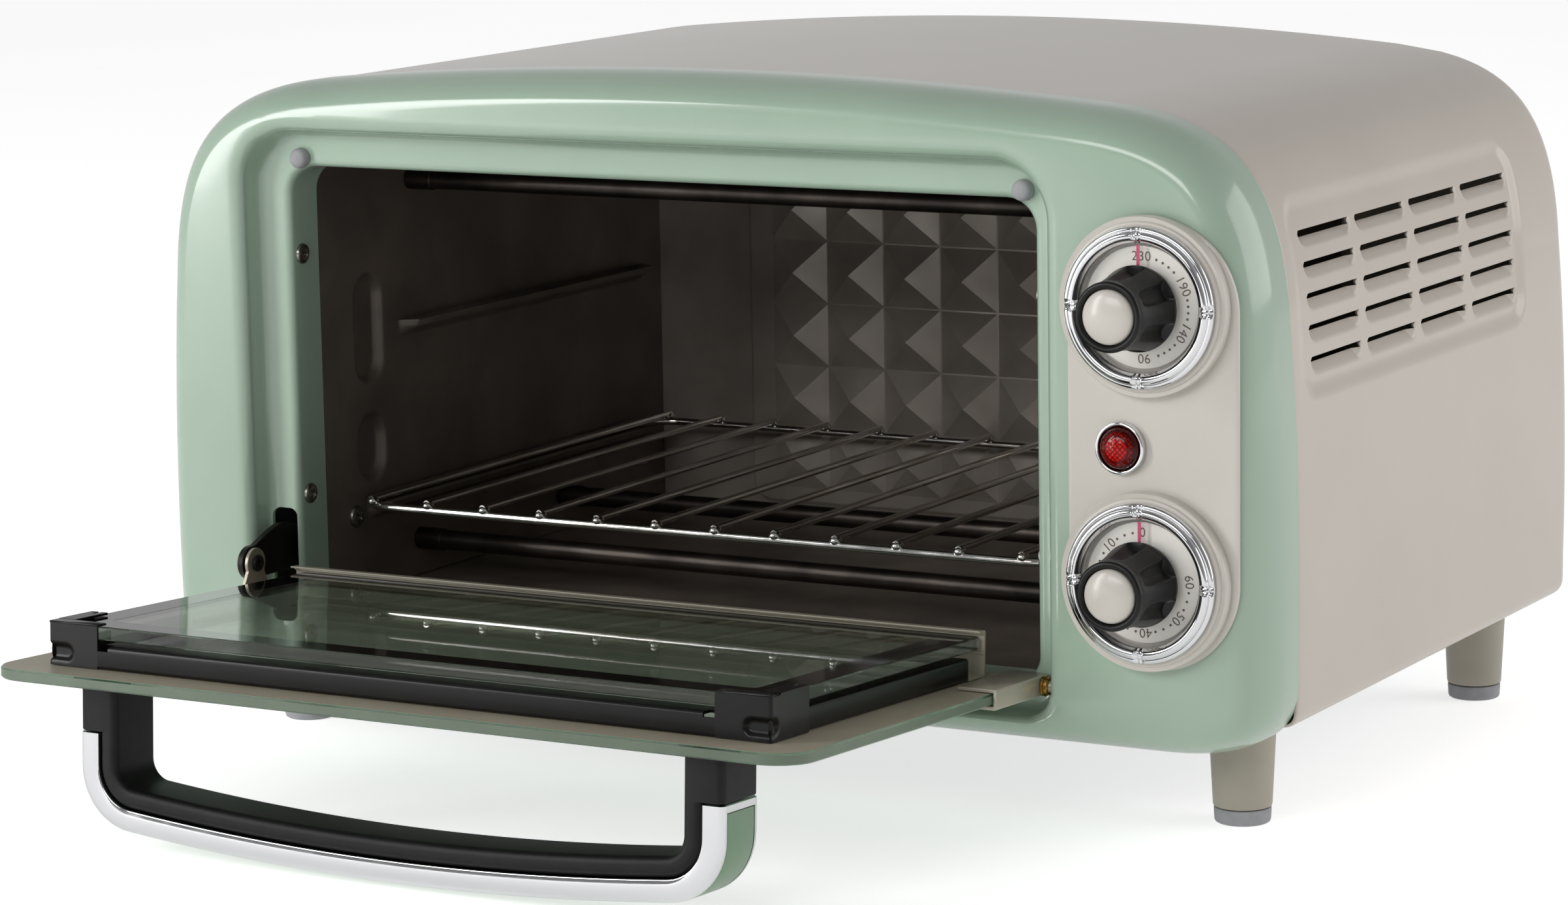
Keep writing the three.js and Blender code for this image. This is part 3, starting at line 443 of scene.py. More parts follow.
def rod(x, z, radius, y0, y1, segments=32):
    """A round bar that runs straight back."""
    return prism(arc(x, z, radius, 0, 360 - 360 / segments, segments - 1), y0, y1)


def rod_across(y, z, radius, x0, x1, segments=32):
    """A round bar that runs from side to side."""
    circle = arc(y, z, radius, 0, 360 - 360 / segments, segments - 1)
    return skin([np.insert(circle, 0, x, axis=1) for x in (x0, x1)])


cut_away(fascia, [
    prism(rounded(**LINK_SLOT), 6, FASCIA_DEPTH + 2),
    rod_across(PIN_BACK, PIN_HEIGHT, PIN_HOLE, DISH["x1"] - 3, DISH["x1"] + 6),
    rod_across(PIN_BACK, PIN_HEIGHT, PIN_HOLE, DISH["x0"] - 6, DISH["x0"] + 3),
    rod(DIAL_X, DIAL_Z["temperature"], SHAFT_HOLE, -1, 4),
    rod(DIAL_X, DIAL_Z["timer"], SHAFT_HOLE, -1, 4),
    rod(LAMP_X, LAMP_Z, 6.6, -1, 4)])
ride_and_replace(fascia, "housing", "green_enamel", "front_fascia")

# ---- body wrap ----------------------------------------------------------------------------
# One sheet of steel bent over both sides and the top, painted a warm grey. Its right side has
# a shallow pressed panel with twenty louvres, each cut along its upper edge and pushed in.
WRAP_SHEET = 0.9
WRAP_INSET = 0.5
WRAP_START = 24.8
ROLL_START = 233.0
WRAP_END = 241.0
PANEL = {"y0": 31.0, "y1": 205.0, "z0": 122.0, "z1": 180.0, "corner": 11.0, "slope": 5.0,
         "depth": 1.3}
LOUVRE = {"y": 40.6, "z": 169.5, "long": 37.6, "high": 5.4, "pitch_y": 40.69, "pitch_z": 8.85,
          "columns": 4, "rows": 5, "depth": 3.8, "end": 4.6, "mouth": 1.9}

near_cut = np.array([1.2, 0.4, 0, -1.0, -LOUVRE["mouth"], -2.35, -2.8, -3.25, -3.7, -4.1, -4.5,
                     -4.85, -5.2, -5.55, -6.1])
heights = [np.linspace(46, 112, 12), np.arange(PANEL["z0"] - 2, PANEL["z0"] + 9, 0.7),
           np.arange(PANEL["z1"] - 8, PANEL["z1"] + 2.1, 0.7), np.linspace(184, 204, 16)]
heights += [LOUVRE["z"] - row * LOUVRE["pitch_z"] + near_cut for row in range(LOUVRE["rows"])]
heights = np.unique(np.round(np.concatenate(heights), 2))
heights = heights[np.insert(np.diff(heights) > 0.25, 0, True)]

near_end = np.array([-1.4, -0.6, 0, 0.35, 0.75, 1.2, 1.7, 2.2, 2.8, 3.5, 4.2, 5, 6.5, 9, 12])
depths = [np.arange(PANEL["y0"] - 1, PANEL["y0"] + 7, 0.9),
          np.arange(PANEL["y1"] - 7, PANEL["y1"] + 1.5, 0.9)]
for column in range(LOUVRE["columns"]):
    y = LOUVRE["y"] + column * LOUVRE["pitch_y"]
    depths += [y + near_end, y + LOUVRE["long"] - near_end]
depths = np.unique(np.round(np.concatenate(depths), 2))
depths = depths[np.insert(np.diff(depths) > 0.22, 0, True)]
edge_curl = [(WRAP_INSET + 0.9, WRAP_START), (WRAP_INSET + 0.35, WRAP_START + 0.15),
             (WRAP_INSET + 0.08, WRAP_START + 0.6), (WRAP_INSET, WRAP_START + 1.4)]
roll = [(WRAP_INSET + 4.2 * (1 - math.cos(t)), ROLL_START + (WRAP_END - ROLL_START) * math.sin(t))
        for t in np.linspace(0, math.pi / 2, 9)]
stations = edge_curl + [(WRAP_INSET, y) for y in depths] + [(WRAP_INSET, 219.0)] + roll

lower_bend = np.concatenate([[(171.5, 31.5), (175, 31.5)],
                             bezier((179, 31.5), (182.5, 31.5), (184.5, 33.3), (184.6, 37), 8)])
side = crown(400)
side_fine = np.stack([np.interp(heights, side[:, 1], side[:, 0]), heights], axis=1)
top_plain = bezier((128.2, 204.8), (86, 208.6), (43, 210.5), (0, 210.5), 24)
wrap_right = np.concatenate([lower_bend, side_fine[:-1], top_plain])
side_plain = evenly(np.concatenate([lower_bend, side, [(0, 0)]]), 4.0)
side_plain = side_plain[(side_plain[:, 1] > 38) & (side_plain[:, 0] > 1)]
wrap_left = (np.concatenate([lower_bend, side_plain]) * (-1, 1))[::-1]
wrap_outline = np.concatenate([wrap_right, wrap_left])


def soft_step(distance, width):
    """Rises smoothly from nothing to one over a width."""
    t = np.clip(distance / width, 0, 1)
    return t * t * (3 - 2 * t)


def pressed_in(y, z):
    """How far the right side is pressed in at each place, in mm."""
    middle_y, middle_z = (PANEL["y0"] + PANEL["y1"]) / 2, (PANEL["z0"] + PANEL["z1"]) / 2
    reach_y = np.abs(y - middle_y) - (PANEL["y1"] - PANEL["y0"]) / 2 + PANEL["corner"]
    reach_z = np.abs(z - middle_z) - (PANEL["z1"] - PANEL["z0"]) / 2 + PANEL["corner"]
    outside = np.hypot(np.maximum(reach_y, 0), np.maximum(reach_z, 0)) + np.minimum(
        np.maximum(reach_y, reach_z), 0) - PANEL["corner"]
    depth = PANEL["depth"] * soft_step(-outside, PANEL["slope"])
    for column in range(LOUVRE["columns"]):
        start = LOUVRE["y"] + column * LOUVRE["pitch_y"]
        from_end = np.minimum(y - start, start + LOUVRE["long"] - y)
        for row in range(LOUVRE["rows"]):
            below = LOUVRE["z"] - row * LOUVRE["pitch_z"] - z
            inside = (below > 0.05) & (from_end > 0) & (below < LOUVRE["high"])
            edge = np.clip(1 - from_end / LOUVRE["end"], 0, 1)
            fill = 1 - np.hypot(np.clip(below / LOUVRE["high"], 0, 1), edge)
            fill = np.where(fill < 0.16, np.maximum(fill, 0) ** 2 / 0.32, fill - 0.08)
            depth = depth + np.where(inside, LOUVRE["depth"] * fill, 0)
    return depth


rings = []
fine = np.zeros(len(wrap_outline), bool)
fine[len(lower_bend):len(lower_bend) + len(side_fine) - 1] = True
facing = inset(wrap_outline, 1, loop=False) - wrap_outline
for by, y in stations:
    push = np.where(fine, pressed_in(np.full(len(wrap_outline), y), wrap_outline[:, 1]), 0)
    rings.append(stand(wrap_outline + facing * (by + push)[:, None], y))
points, faces = skin(rings, loop=False, caps=False)

open_faces = set()
across_count = len(wrap_outline) - 1
for index, face in enumerate(faces):
    row_of_face, i = divmod(index, across_count)
    if not fine[i] or row_of_face + 1 >= len(stations):
        continue
    y = (stations[row_of_face][1] + stations[row_of_face + 1][1]) / 2
    z = (wrap_outline[i][1] + wrap_outline[i + 1][1]) / 2
    along = (y - LOUVRE["y"]) % LOUVRE["pitch_y"]
    column = (y - LOUVRE["y"]) // LOUVRE["pitch_y"]
    below = (LOUVRE["z"] - z) % LOUVRE["pitch_z"]
    row = (LOUVRE["z"] - z) // LOUVRE["pitch_z"]
    if (0 <= column < LOUVRE["columns"] and 0 <= row < LOUVRE["rows"] and below < LOUVRE["mouth"]
            and 1.2 < along < LOUVRE["long"] - 1.2):
        open_faces.add(face)
faces = [face for face in faces if face not in open_faces]

# Baked polyester paint: satin gloss over a fine, hard orange peel.
warm_grey_paint = new_finish("warm_grey_baked_paint", "#c9bfb4", 0.28, Coat_Weight=0.45, Coat_Roughness=0.07)
ripple(warm_grey_paint, 2.2, 0.008, 2.0)
mottle(warm_grey_paint, "#c9bfb4", "#c5bbb0", 60)

wrap = make_piece("painted_wrap", points, faces, warm_grey_paint, thick=WRAP_SHEET, sharp=40,
                  facing=(1, 0, 0))
ride_and_replace(wrap, "housing", "grey_beige_paint", "body_wrap")

# ---- back cover, base and cord gland ------------------------------------------------------
# The back is a flat painted sheet let into the wrap's rolled edge, with two banks of vents and
# a hole for the mains cord. The base is plain galvanised sheet, and the gland black nylon.
COVER_START = 239.3
COVER_SHEET = 1.0
VENT = {"long": 56.0, "high": 3.4, "pitch": 9.0, "low": 150.0, "rows": 5, "banks": (-120.0, 60.0)}
GLAND_X, GLAND_Z = 150.0, 62.0

cover_outline = inset(evenly(fascia_outline, 2.0), 6.3)
cover = make_piece("back_panel", *prism(cover_outline, COVER_START, COVER_START + COVER_SHEET),
                   warm_grey_paint)
through = (COVER_START - 2, COVER_START + 3)
cuts = [rod(GLAND_X, GLAND_Z, 6.4, *through, 48),
        prism([(-200, 0), (200, 0), (200, 34.8), (-200, 34.8)], *through)]
for bank in VENT["banks"]:
    for row in range(VENT["rows"]):
        low = VENT["low"] + row * VENT["pitch"]
        slot = rounded(bank, bank + VENT["long"], low, low + VENT["high"], 1.69, 1.69)
        cuts.append(prism(slot, *through))
cut_away(cover, cuts)
ride_and_replace(cover, "housing", "grey_beige_paint", "back_cover")

# Galvanised sheet: dull grey zinc with a soft spangle of crystals.
galvanised = new_finish("galvanised_sheet", "#8f9192", 0.42, Metallic=1.0)
mottle(galvanised, "#8b8d8e", "#a3a5a6", 9, 1.0)
smudge(galvanised, 0.34, 0.55, 12)
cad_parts["base_plate"].data.materials[0] = galvanised


def spun(profile, at=(0, 0), axis="y", segments=96, turn=0.0):
    """A profile of (radius, along) points turned about an axis through a place."""
    angle = np.linspace(0, 2 * math.pi, segments, endpoint=False) + turn
    rings = []
    for radius, along in profile:
        a, b = at[0] + radius * np.cos(angle), at[1] + radius * np.sin(angle)
        level = np.full(segments, float(along))
        columns = {"x": (level, a, b), "y": (a, level, b), "z": (a, b, level)}[axis]
        rings.append(np.stack(columns, axis=1))
    shut = profile[0][0] > 0 and tuple(profile[0]) == tuple(profile[-1])
    if shut:
        return skin(rings[:-1], closed=True)
    return skin(rings, caps=False)


def bend(across, along, radius, start, end, steps=6):
    """Points of a profile's round corner."""
    return [tuple(p) for p in arc(across, along, radius, start, end, steps)]


# Glass-filled nylon: deep black with a fine matt grain from the mould.
black_nylon = new_finish("moulded_black_nylon", "#0c0c0d", 0.36, Specular_IOR_Level=0.35)
ripple(black_nylon, 0.7, 0.02, 2.0)
gland_profile = ([(3.6, COVER_START - 4)] + bend(7.6, COVER_START - 3.2, 0.8, -90, 0)
                 + [(8.4, COVER_START - 0.3), (6, COVER_START - 0.3), (6, COVER_START + 1.3),
                    (8.4, COVER_START + 1.3), (8.4, COVER_START + 2)]
                 + bend(6.4, COVER_START + 4, 1.0, 20, 90) + [(3.6, COVER_START + 5), (3.6, COVER_START - 4)])
gland = make_piece("nylon_gland", *spun(gland_profile, (GLAND_X, GLAND_Z), segments=64), black_nylon)
ride_and_replace(gland, "housing", "black_plastic", "cord_gland")

# ---- oven cavity --------------------------------------------------------------------------
# The lining is thin aluminised steel, its sides coloured darker than its back. Each side has two rails
# pressed into it for the rack, and two upright dimples by the mouth. The back is stamped with
# square pyramids that throw the heat about.
CAVITY = {"x0": -139.8, "x1": 111.2, "z0": 41.0, "z1": 178.6, "y0": 24.8, "y1": 227.6}
LINER = 0.8
RAIL = {"tops": (69.0, 124.0), "y0": (46.0, 66.0), "y1": 216.0, "up": (-5.6, -5, -1.9, -0.4, 0, 0.02),
        "reach": (0, 0.2, 5.7, 6.3, 6.3, 0)}
DIMPLE = {"y0": 42.0, "y1": 58.0, "spans": ((75.0, 97.0), (106.0, 141.0)), "depth": 3.0}
PYRAMID = {"pitch": 21.3, "height": 5.5, "x": -94.4, "z": 48.4, "columns": 8, "rows": 5, "land": 0.6}

# Aluminised steel on the sides: half-matt, coloured dark grey brown in drifting patches, darker than the
# back.
cavity_liner = new_finish("baked_aluminised_steel", "#6b635c", 0.4, Metallic=0.35)
mottle(cavity_liner, "#655d56", "#776d64", 30)
smudge(cavity_liner, 0.34, 0.5, 18)


def dimple(y, z):
    """How far the two upright dimples are pressed out of the side at each place."""
    pressed = np.zeros_like(y)
    for low, high in DIMPLE["spans"]:
        radius = (DIMPLE["y1"] - DIMPLE["y0"]) / 2
        off = np.maximum(np.maximum(low + radius - z, z - high + radius), 0)
        inward = radius - np.hypot(y - DIMPLE["y0"] - radius, off)
        pressed += DIMPLE["depth"] * soft_step(inward, 2.4)
    return pressed


wall_y = np.unique(np.concatenate([np.arange(CAVITY["y0"], 70, 0.8), np.linspace(70, 210, 12),
                                   np.arange(208, 220, 1.0), [CAVITY["y1"] - 0.3]]))
wall_z = [np.arange(CAVITY["z0"] + 0.3, CAVITY["z1"] - 0.3, 1.0)]
for top in RAIL["tops"]:
    wall_z.append(top + np.array([0.02, 0, -0.4, -1.2, -1.9, -3, -4.2, -5, -5.6]))
wall_z = np.unique(np.round(np.concatenate(wall_z), 2))
for side, face, inwards in (("left", CAVITY["x0"], 1), ("right", CAVITY["x1"], -1)):
    rings = []
    for y in wall_y:
        x = -dimple(np.full(len(wall_z), y), wall_z)
        for top, start in zip(RAIL["tops"], RAIL["y0"]):
            shelf = np.interp(wall_z - top, RAIL["up"], RAIL["reach"])
            x += shelf * soft_step(y - start, 5.0) * soft_step(RAIL["y1"] - y, 5.0)
        rings.append(np.stack([face + inwards * x, np.full(len(wall_z), y), wall_z], axis=1))
    wall = make_piece(f"cavity_side_{side}", *skin(rings, loop=False, caps=False), cavity_liner,
                      thick=LINER, facing=(inwards, 0, 0), sharp=50)
    ride_and_replace(wall, "housing", "cavity_liner", f"cavity_{side}_wall")
for node in ("cavity_top", "cavity_floor"):
    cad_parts[node].data.materials[0] = cavity_liner


def new_tree(name, **sockets):
    """An empty node tree for a modifier with one geometry in, one out, and named inputs."""
    tree = bpy.data.node_groups.new(name, "GeometryNodeTree")
    tree.interface.new_socket("Geometry", in_out="INPUT", socket_type="NodeSocketGeometry")
    for socket, kind in sockets.items():
        tree.interface.new_socket(socket.replace("_", " "), in_out="INPUT", socket_type="NodeSocket" + kind)
    tree.interface.new_socket("Geometry", in_out="OUTPUT", socket_type="NodeSocketGeometry")
    return tree, tree.nodes.new("NodeGroupInput").outputs, tree.nodes.new("NodeGroupOutput").inputs


def finish_tree(tree, geometry, given, result):
    """Ends a tree: what it laid out is made real and gets its finish."""
    plain = add_node(tree, "GeometryNodeRealizeInstances", {"Geometry": geometry})
    coated = add_node(tree, "GeometryNodeSetMaterial", {
        "Geometry": plain.outputs[0], "Material": given["Finish"]})
    tree.links.new(coated.outputs[0], result["Geometry"])


def grow(name, tree, body, slot, replaced=(), points=((0, 0, 0),), aims=None, **inputs):
    """Runs a tree on points, keeps the plain mesh that comes out, and puts it on a body."""
    mesh = bpy.data.meshes.new(name)
    mesh.from_pydata([tuple(p) for p in points], [], [])
    if aims is not None:
        aim = mesh.attributes.new("aim", "FLOAT_VECTOR", "POINT")
        aim.data.foreach_set("vector", np.asarray(aims, float).ravel())
    piece = bpy.data.objects.new(name, mesh)
    bpy.context.scene.collection.objects.link(piece)
    nodes = piece.modifiers.new("nodes", "NODES")
    nodes.node_group = tree
    for item in tree.interface.items_tree:
        key = item.name.replace(" ", "_")
        if item.in_out == "INPUT" and key in inputs:
            nodes[item.identifier] = inputs[key]
    settle(piece)
    shade(piece)
    return ride_and_replace(piece, body, slot, *replaced)


# The stamped back is the same sheet as the sides, coloured brighter than them.
bright_liner = new_finish("stamped_aluminised_steel", "#b3aba1", 0.36, Metallic=0.4)
mottle(bright_liner, "#a9a197", "#bcb4aa", 24)
smudge(bright_liner, 0.3, 0.45, 14)

back_sheet_z = (CAVITY["z0"] - LINER, CAVITY["z1"] + LINER)
field_x1 = PYRAMID["x"] + PYRAMID["pitch"] * PYRAMID["columns"]
field_z1 = PYRAMID["z"] + PYRAMID["pitch"] * PYRAMID["rows"]
border = rounded(PYRAMID["x"] - 8, field_x1 + 8, PYRAMID["z"] - 4, field_z1 + 12, 6, 6)
sheet_rings = [stand(looking(outline, bearings, middle), CAVITY["y1"] - forward) for outline, forward in (
    (rounded(CAVITY["x0"] - LINER, CAVITY["x1"] + LINER, *back_sheet_z, 1, 1), 0),
    (inset(border, -2.2), 0), (inset(border, -1.5), 0.4), (inset(border, -0.7), 1.6), (border, 2.0))]
field_centre = np.array(((PYRAMID["x"] + field_x1) / 2, CAVITY["y1"] - 2.0, (PYRAMID["z"] + field_z1) / 2))
sheet_rings.append(np.tile(field_centre, (len(bearings), 1)))
back_sheet = make_piece("cavity_back_sheet", *skin(sheet_rings, caps=False), bright_liner,
                        thick=LINER, facing=(0, -1, 0))
ride_and_replace(back_sheet, "housing", "cavity_liner", "cavity_back")

# The stamped field: rows and columns of one pyramid with a narrow flat land round it.
stamp, given, result = new_tree("stamped_pyramids", Pitch="Float", Height="Float", Land="Float",
                                Columns="Int", Rows="Int", Centre="Vector", Finish="Material")
flat_side = add_node(stamp, "ShaderNodeMath", {0: given["Pitch"], 1: given["Land"]}, operation="SUBTRACT")
corner_reach = add_node(stamp, "ShaderNodeMath", {0: flat_side.outputs[0], 1: math.sqrt(0.5)},
                        operation="MULTIPLY")
point = add_node(stamp, "GeometryNodeMeshCone", {
    "Vertices": 4, "Radius Top": 0.0, "Radius Bottom": corner_reach.outputs[0],
    "Depth": given["Height"]}, fill_type="NGON")
squared = add_node(stamp, "GeometryNodeTransform", {
    "Geometry": point.outputs["Mesh"], "Rotation": (0, 0, math.pi / 4)})
spans = {}
for count in ("Columns", "Rows"):
    gaps = add_node(stamp, "ShaderNodeMath", {0: given[count], 1: 1.0}, operation="SUBTRACT")
    spans[count] = add_node(stamp, "ShaderNodeMath", {0: gaps.outputs[0], 1: given["Pitch"]},
                            operation="MULTIPLY").outputs[0]
field = add_node(stamp, "GeometryNodeMeshGrid", {
    "Size X": spans["Columns"], "Size Y": spans["Rows"], "Vertices X": given["Columns"],
    "Vertices Y": given["Rows"]})
laid = add_node(stamp, "GeometryNodeInstanceOnPoints", {
    "Points": field.outputs["Mesh"], "Instance": squared.outputs[0]})
upright = add_node(stamp, "GeometryNodeTransform", {
    "Geometry": laid.outputs[0], "Rotation": (math.pi / 2, 0, 0), "Translation": given["Centre"]})
finish_tree(stamp, upright.outputs[0], given, result)
grow("cavity_back_pyramids", stamp, "housing", "cavity_liner", ["cavity_back"],
     Pitch=PYRAMID["pitch"] * MM, Height=PYRAMID["height"] * MM, Land=PYRAMID["land"] * MM,
     Columns=PYRAMID["columns"], Rows=PYRAMID["rows"], Finish=bright_liner,
     Centre=tuple(body_place([field_centre])[0].tolist()))

# ---- heating tubes ------------------------------------------------------------------------
# Four sheathed elements cross the cavity, two low and two high. Each is a steel tube packed
# with magnesia, darkened by heat, with a slightly thicker sleeve at either end.
HEATERS = {"lower_front": (75.0, 53.0), "lower_rear": (160.0, 53.0), "upper_front": (75.0, 168.0),
           "upper_rear": (160.0, 168.0)}
HEATER_RADIUS = 3.5
SLEEVE = {"long": 9, "end": 9.3, "step": 0.35}

# Steel darkened by heat: near black with warm brown patches, half polished.
blued_sheath = new_finish("heat_blued_sheath", "#3c3835", 0.36, Metallic=0.9)
mottle(blued_sheath, "#332f2d", "#4a433e", 14)
ripple(blued_sheath, 0.8, 0.01)
tube_x = (CAVITY["x0"] + 0.3, CAVITY["x1"] - 0.3)
for place_name, (y, z) in HEATERS.items():
    profile = [(0, tube_x[0]), (HEATER_RADIUS, tube_x[0])]
    for x, inwards in ((tube_x[0], 1), (tube_x[1], -1)):
        step = [(HEATER_RADIUS, x + inwards * SLEEVE["long"]),
                (HEATER_RADIUS - SLEEVE["step"], x + inwards * SLEEVE["end"])]
        profile += step if inwards > 0 else step[::-1]
    profile += [(HEATER_RADIUS, tube_x[1]), (0, tube_x[1])]
    tube_piece = make_piece(f"heater_{place_name}", *spun(profile, (y, z), "x", 40), blued_sheath)
    ride_and_replace(tube_piece, "housing", "zinc_steel", f"heating_tube_{place_name}")

# ---- wire rack ----------------------------------------------------------------------------
# A loop of 2.6 mm wire with twelve thinner wires laid over its front and rear bars and spot
# welded there, all nickel-chrome plated. The loop slides on the lower rails.
RACK = {"x0": -137.0, "x1": 106.5, "y0": 34.6, "y1": 214.0, "z": 70.6, "wire": 1.3, "corner": 14.0}
CROSS = {"first": -129.7, "pitch": 20.41, "count": 12, "radius": 1.1, "rise": 2.2}

# Nickel-chrome on drawn wire: a hard, bright line of light, a little clouded by baking.
rack_chrome = new_finish("chromed_wire", "#dfe0e2", 0.12, Metallic=1.0)
smudge(rack_chrome, 0.08, 0.2, 10)
mottle(rack_chrome, "#e2e2e3", "#cfcac2", 25)


def tube(path, radius, sides=16, closed=False):
    """A round wire along a path of (x, y, z) points."""
    path = np.asarray(path, float)
    if closed:
        along = np.roll(path, -1, axis=0) - np.roll(path, 1, axis=0)
    else:
        along = np.gradient(path, axis=0)
    along /= np.linalg.norm(along, axis=1)[:, None]
    side = np.cross(along, (0, 0, 1))
    side /= np.linalg.norm(side, axis=1)[:, None]
    up = np.cross(side, along)
    angle = np.linspace(0, 2 * math.pi, sides, endpoint=False)[:, None]
    rings = [p + radius * (np.cos(angle) * s + np.sin(angle) * u) for p, s, u in zip(path, side, up)]
    return skin(rings, caps=not closed, closed=closed)


loop_line = rounded(RACK["x0"], RACK["x1"], RACK["y0"], RACK["y1"], RACK["corner"], RACK["corner"], 12)
loop_line = np.insert(loop_line, 2, RACK["z"], axis=1)
rack_loop = make_piece("rack_loop", *tube(loop_line, RACK["wire"], closed=True), rack_chrome)
ride_and_replace(rack_loop, "rack", "rack_chrome", "wire_rack")

# One wire with a flattened bead of weld at each bar, repeated along the loop.
BEAD_SUNK = 0.6 * MM
BEAD_SHAPE = (0.95, 1.1, 0.75)
weld, given, result = new_tree("welded_wires", Count="Int", Pitch="Float", Radius="Float", Start="Vector",
                               End="Vector", Bar_gap="Float", Finish="Material")
step = add_node(weld, "ShaderNodeCombineXYZ", {0: given["Pitch"], 1: 0.0, 2: 0.0})
row_of = add_node(weld, "GeometryNodeMeshLine", {
    "Count": given["Count"], "Start Location": given["Start"], "Offset": step.outputs[0]})
line = add_node(weld, "GeometryNodeCurvePrimitiveLine", {"Start": (0, 0, 0), "End": given["End"]})
bent = add_node(weld, "GeometryNodeResampleCurve", {"Curve": line.outputs[0], "Count": 24})
section = add_node(weld, "GeometryNodeCurvePrimitiveCircle", {"Resolution": 14, "Radius": given["Radius"]})
wire = add_node(weld, "GeometryNodeCurveToMesh", {
    "Curve": bent.outputs[0], "Profile Curve": section.outputs[0], "Fill Caps": True})
fat = add_node(weld, "ShaderNodeMath", {0: given["Radius"], 1: 1.75}, operation="MULTIPLY")
bead = add_node(weld, "GeometryNodeMeshUVSphere", {"Segments": 16, "Rings": 10, "Radius": fat.outputs[0]})
front_place = add_node(weld, "ShaderNodeCombineXYZ", {0: 0.0, 1: given["Bar gap"], 2: -BEAD_SUNK})
from_end = add_node(weld, "ShaderNodeCombineXYZ", {0: 0.0, 1: given["Bar gap"], 2: BEAD_SUNK})
rear_place = add_node(weld, "ShaderNodeVectorMath", {0: given["End"], 1: from_end.outputs[0]},
                      operation="SUBTRACT")
bead_front, bead_rear = [
    add_node(weld, "GeometryNodeTransform", {
        "Geometry": bead.outputs[0], "Translation": at.outputs[0], "Scale": BEAD_SHAPE})
    for at in (front_place, rear_place)]
both = add_node(weld, "GeometryNodeJoinGeometry")
for part in (wire, bead_front, bead_rear):
    weld.links.new(part.outputs[0], both.inputs[0])
laid = add_node(weld, "GeometryNodeInstanceOnPoints", {
    "Points": row_of.outputs[0], "Instance": both.outputs[0]})
finish_tree(weld, laid.outputs[0], given, result)
overhang = 1.0
grow("rack_cross_wires", weld, "rack", "rack_chrome", ["wire_rack"], Count=CROSS["count"],
     Pitch=CROSS["pitch"] * MM, Radius=CROSS["radius"] * MM, Finish=rack_chrome, Bar_gap=overhang * MM,
     Start=(CROSS["first"] * MM, (FRONT + RACK["y0"] - overhang) * MM, (RACK["z"] + CROSS["rise"]) * MM),
     End=(0, (RACK["y1"] - RACK["y0"] + 2 * overhang) * MM, 0))

# ---- control plate ------------------------------------------------------------------------
# One moulding of glossy ivory ABS with a raised collar under each dial. Pegs on its back clip
# it to the fascia.
PLATE = {"x": 152.5, "half": 25.6, "low": 76.6, "high": 150.9, "face": -1.5, "back": -0.3}
COLLAR_TOP = -5.9

# Moulded ABS: even ivory with a soft gloss and faint sink marks.
ivory_abs = new_finish("moulded_ivory_abs", "#d0cbc2", 0.28, Coat_Weight=0.2, Coat_Roughness=0.1)
ripple(ivory_abs, 3.0, 0.006)
mottle(ivory_abs, "#d0cbc2", "#cdc8bf", 30)

stadium = np.concatenate([arc(PLATE["x"], PLATE["low"], PLATE["half"], -180, 0, 64),
                          arc(PLATE["x"], PLATE["high"], PLATE["half"], 0, 180, 64)])
edge = [(0.0, PLATE["back"]), (0.0, PLATE["face"] + 0.55), (0.16, PLATE["face"] + 0.18),
        (0.55, PLATE["face"]), (1.4, PLATE["face"])]
plate = make_piece("ivory_plate", *skin([stand(inset(stadium, by), y) for by, y in edge]), ivory_abs)
collar_profile = ([(0, PLATE["back"] - 0.4), (24.2, PLATE["back"] - 0.4), (24.9, PLATE["face"] + 0.1)]
                  + bend(23.7, PLATE["face"] - 3.0, 1.3, -8, -40, 4)
                  + bend(22.7, COLLAR_TOP + 0.9, 0.9, -10, -90, 5) + [(20, COLLAR_TOP), (0, COLLAR_TOP)])
cut_away(plate, [spun(collar_profile, (DIAL_X, z)) for z in DIAL_Z.values()], "UNION")
cut_away(plate, [rod(DIAL_X, z, 17.9, -7, -3.4, 96) for z in DIAL_Z.values()]
         + [rod(LAMP_X, LAMP_Z, 6.3, -4, 2, 64)])
cut_away(plate, [rod(DIAL_X, z, 7, -8, 2, 64) for z in DIAL_Z.values()])
ride_and_replace(plate, "housing", "ivory_abs", "control_plate")

# ---- dials --------------------------------------------------------------------------------
# Each dial is an ivory disc printed with numbers that turns with its knob, behind a fixed clear
# window with a red line. A chromed ring of two beads, pinched at its four quarters, holds the
# window in the collar.
RING = {"inner": 17.9, "foot": -6.2}
DISC_FACE = -5.2
PRINT_RADIUS = 13.9
PRINT_THICK = 0.03
NUMBER_HEIGHT = 2.7

# Chrome on plastic: mirror-bright, with the softness that plating over a moulding has.
bright_chrome = new_finish("chromed_moulding", "#e8e8ea", 0.05, Metallic=1.0)
smudge(bright_chrome, 0.03, 0.09, 8)
# Polystyrene window: clear and polished.
clear_window = new_finish("clear_polystyrene", "#f4f6f6", 0.02, Alpha=0.05, IOR=1.5)
mottle(clear_window, "#f4f6f6", "#eceff0", 10)
# Disc of matt white-ivory polystyrene.
pale_disc = new_finish("ivory_polystyrene_disc", "#f0ece4", 0.45)
mottle(pale_disc, "#f0ece4", "#ebe7de", 12)
# Pad-printed inks: brown for the numbers, a lively red for the line.
brown_ink = new_finish("brown_print", "#4c3422", 0.5)
mottle(brown_ink, "#4c3422", "#573d2a", 0.6)
red_ink = new_finish("red_print", "#c64a70", 0.4)
mottle(red_ink, "#c64a70", "#cf5a7d", 0.6)

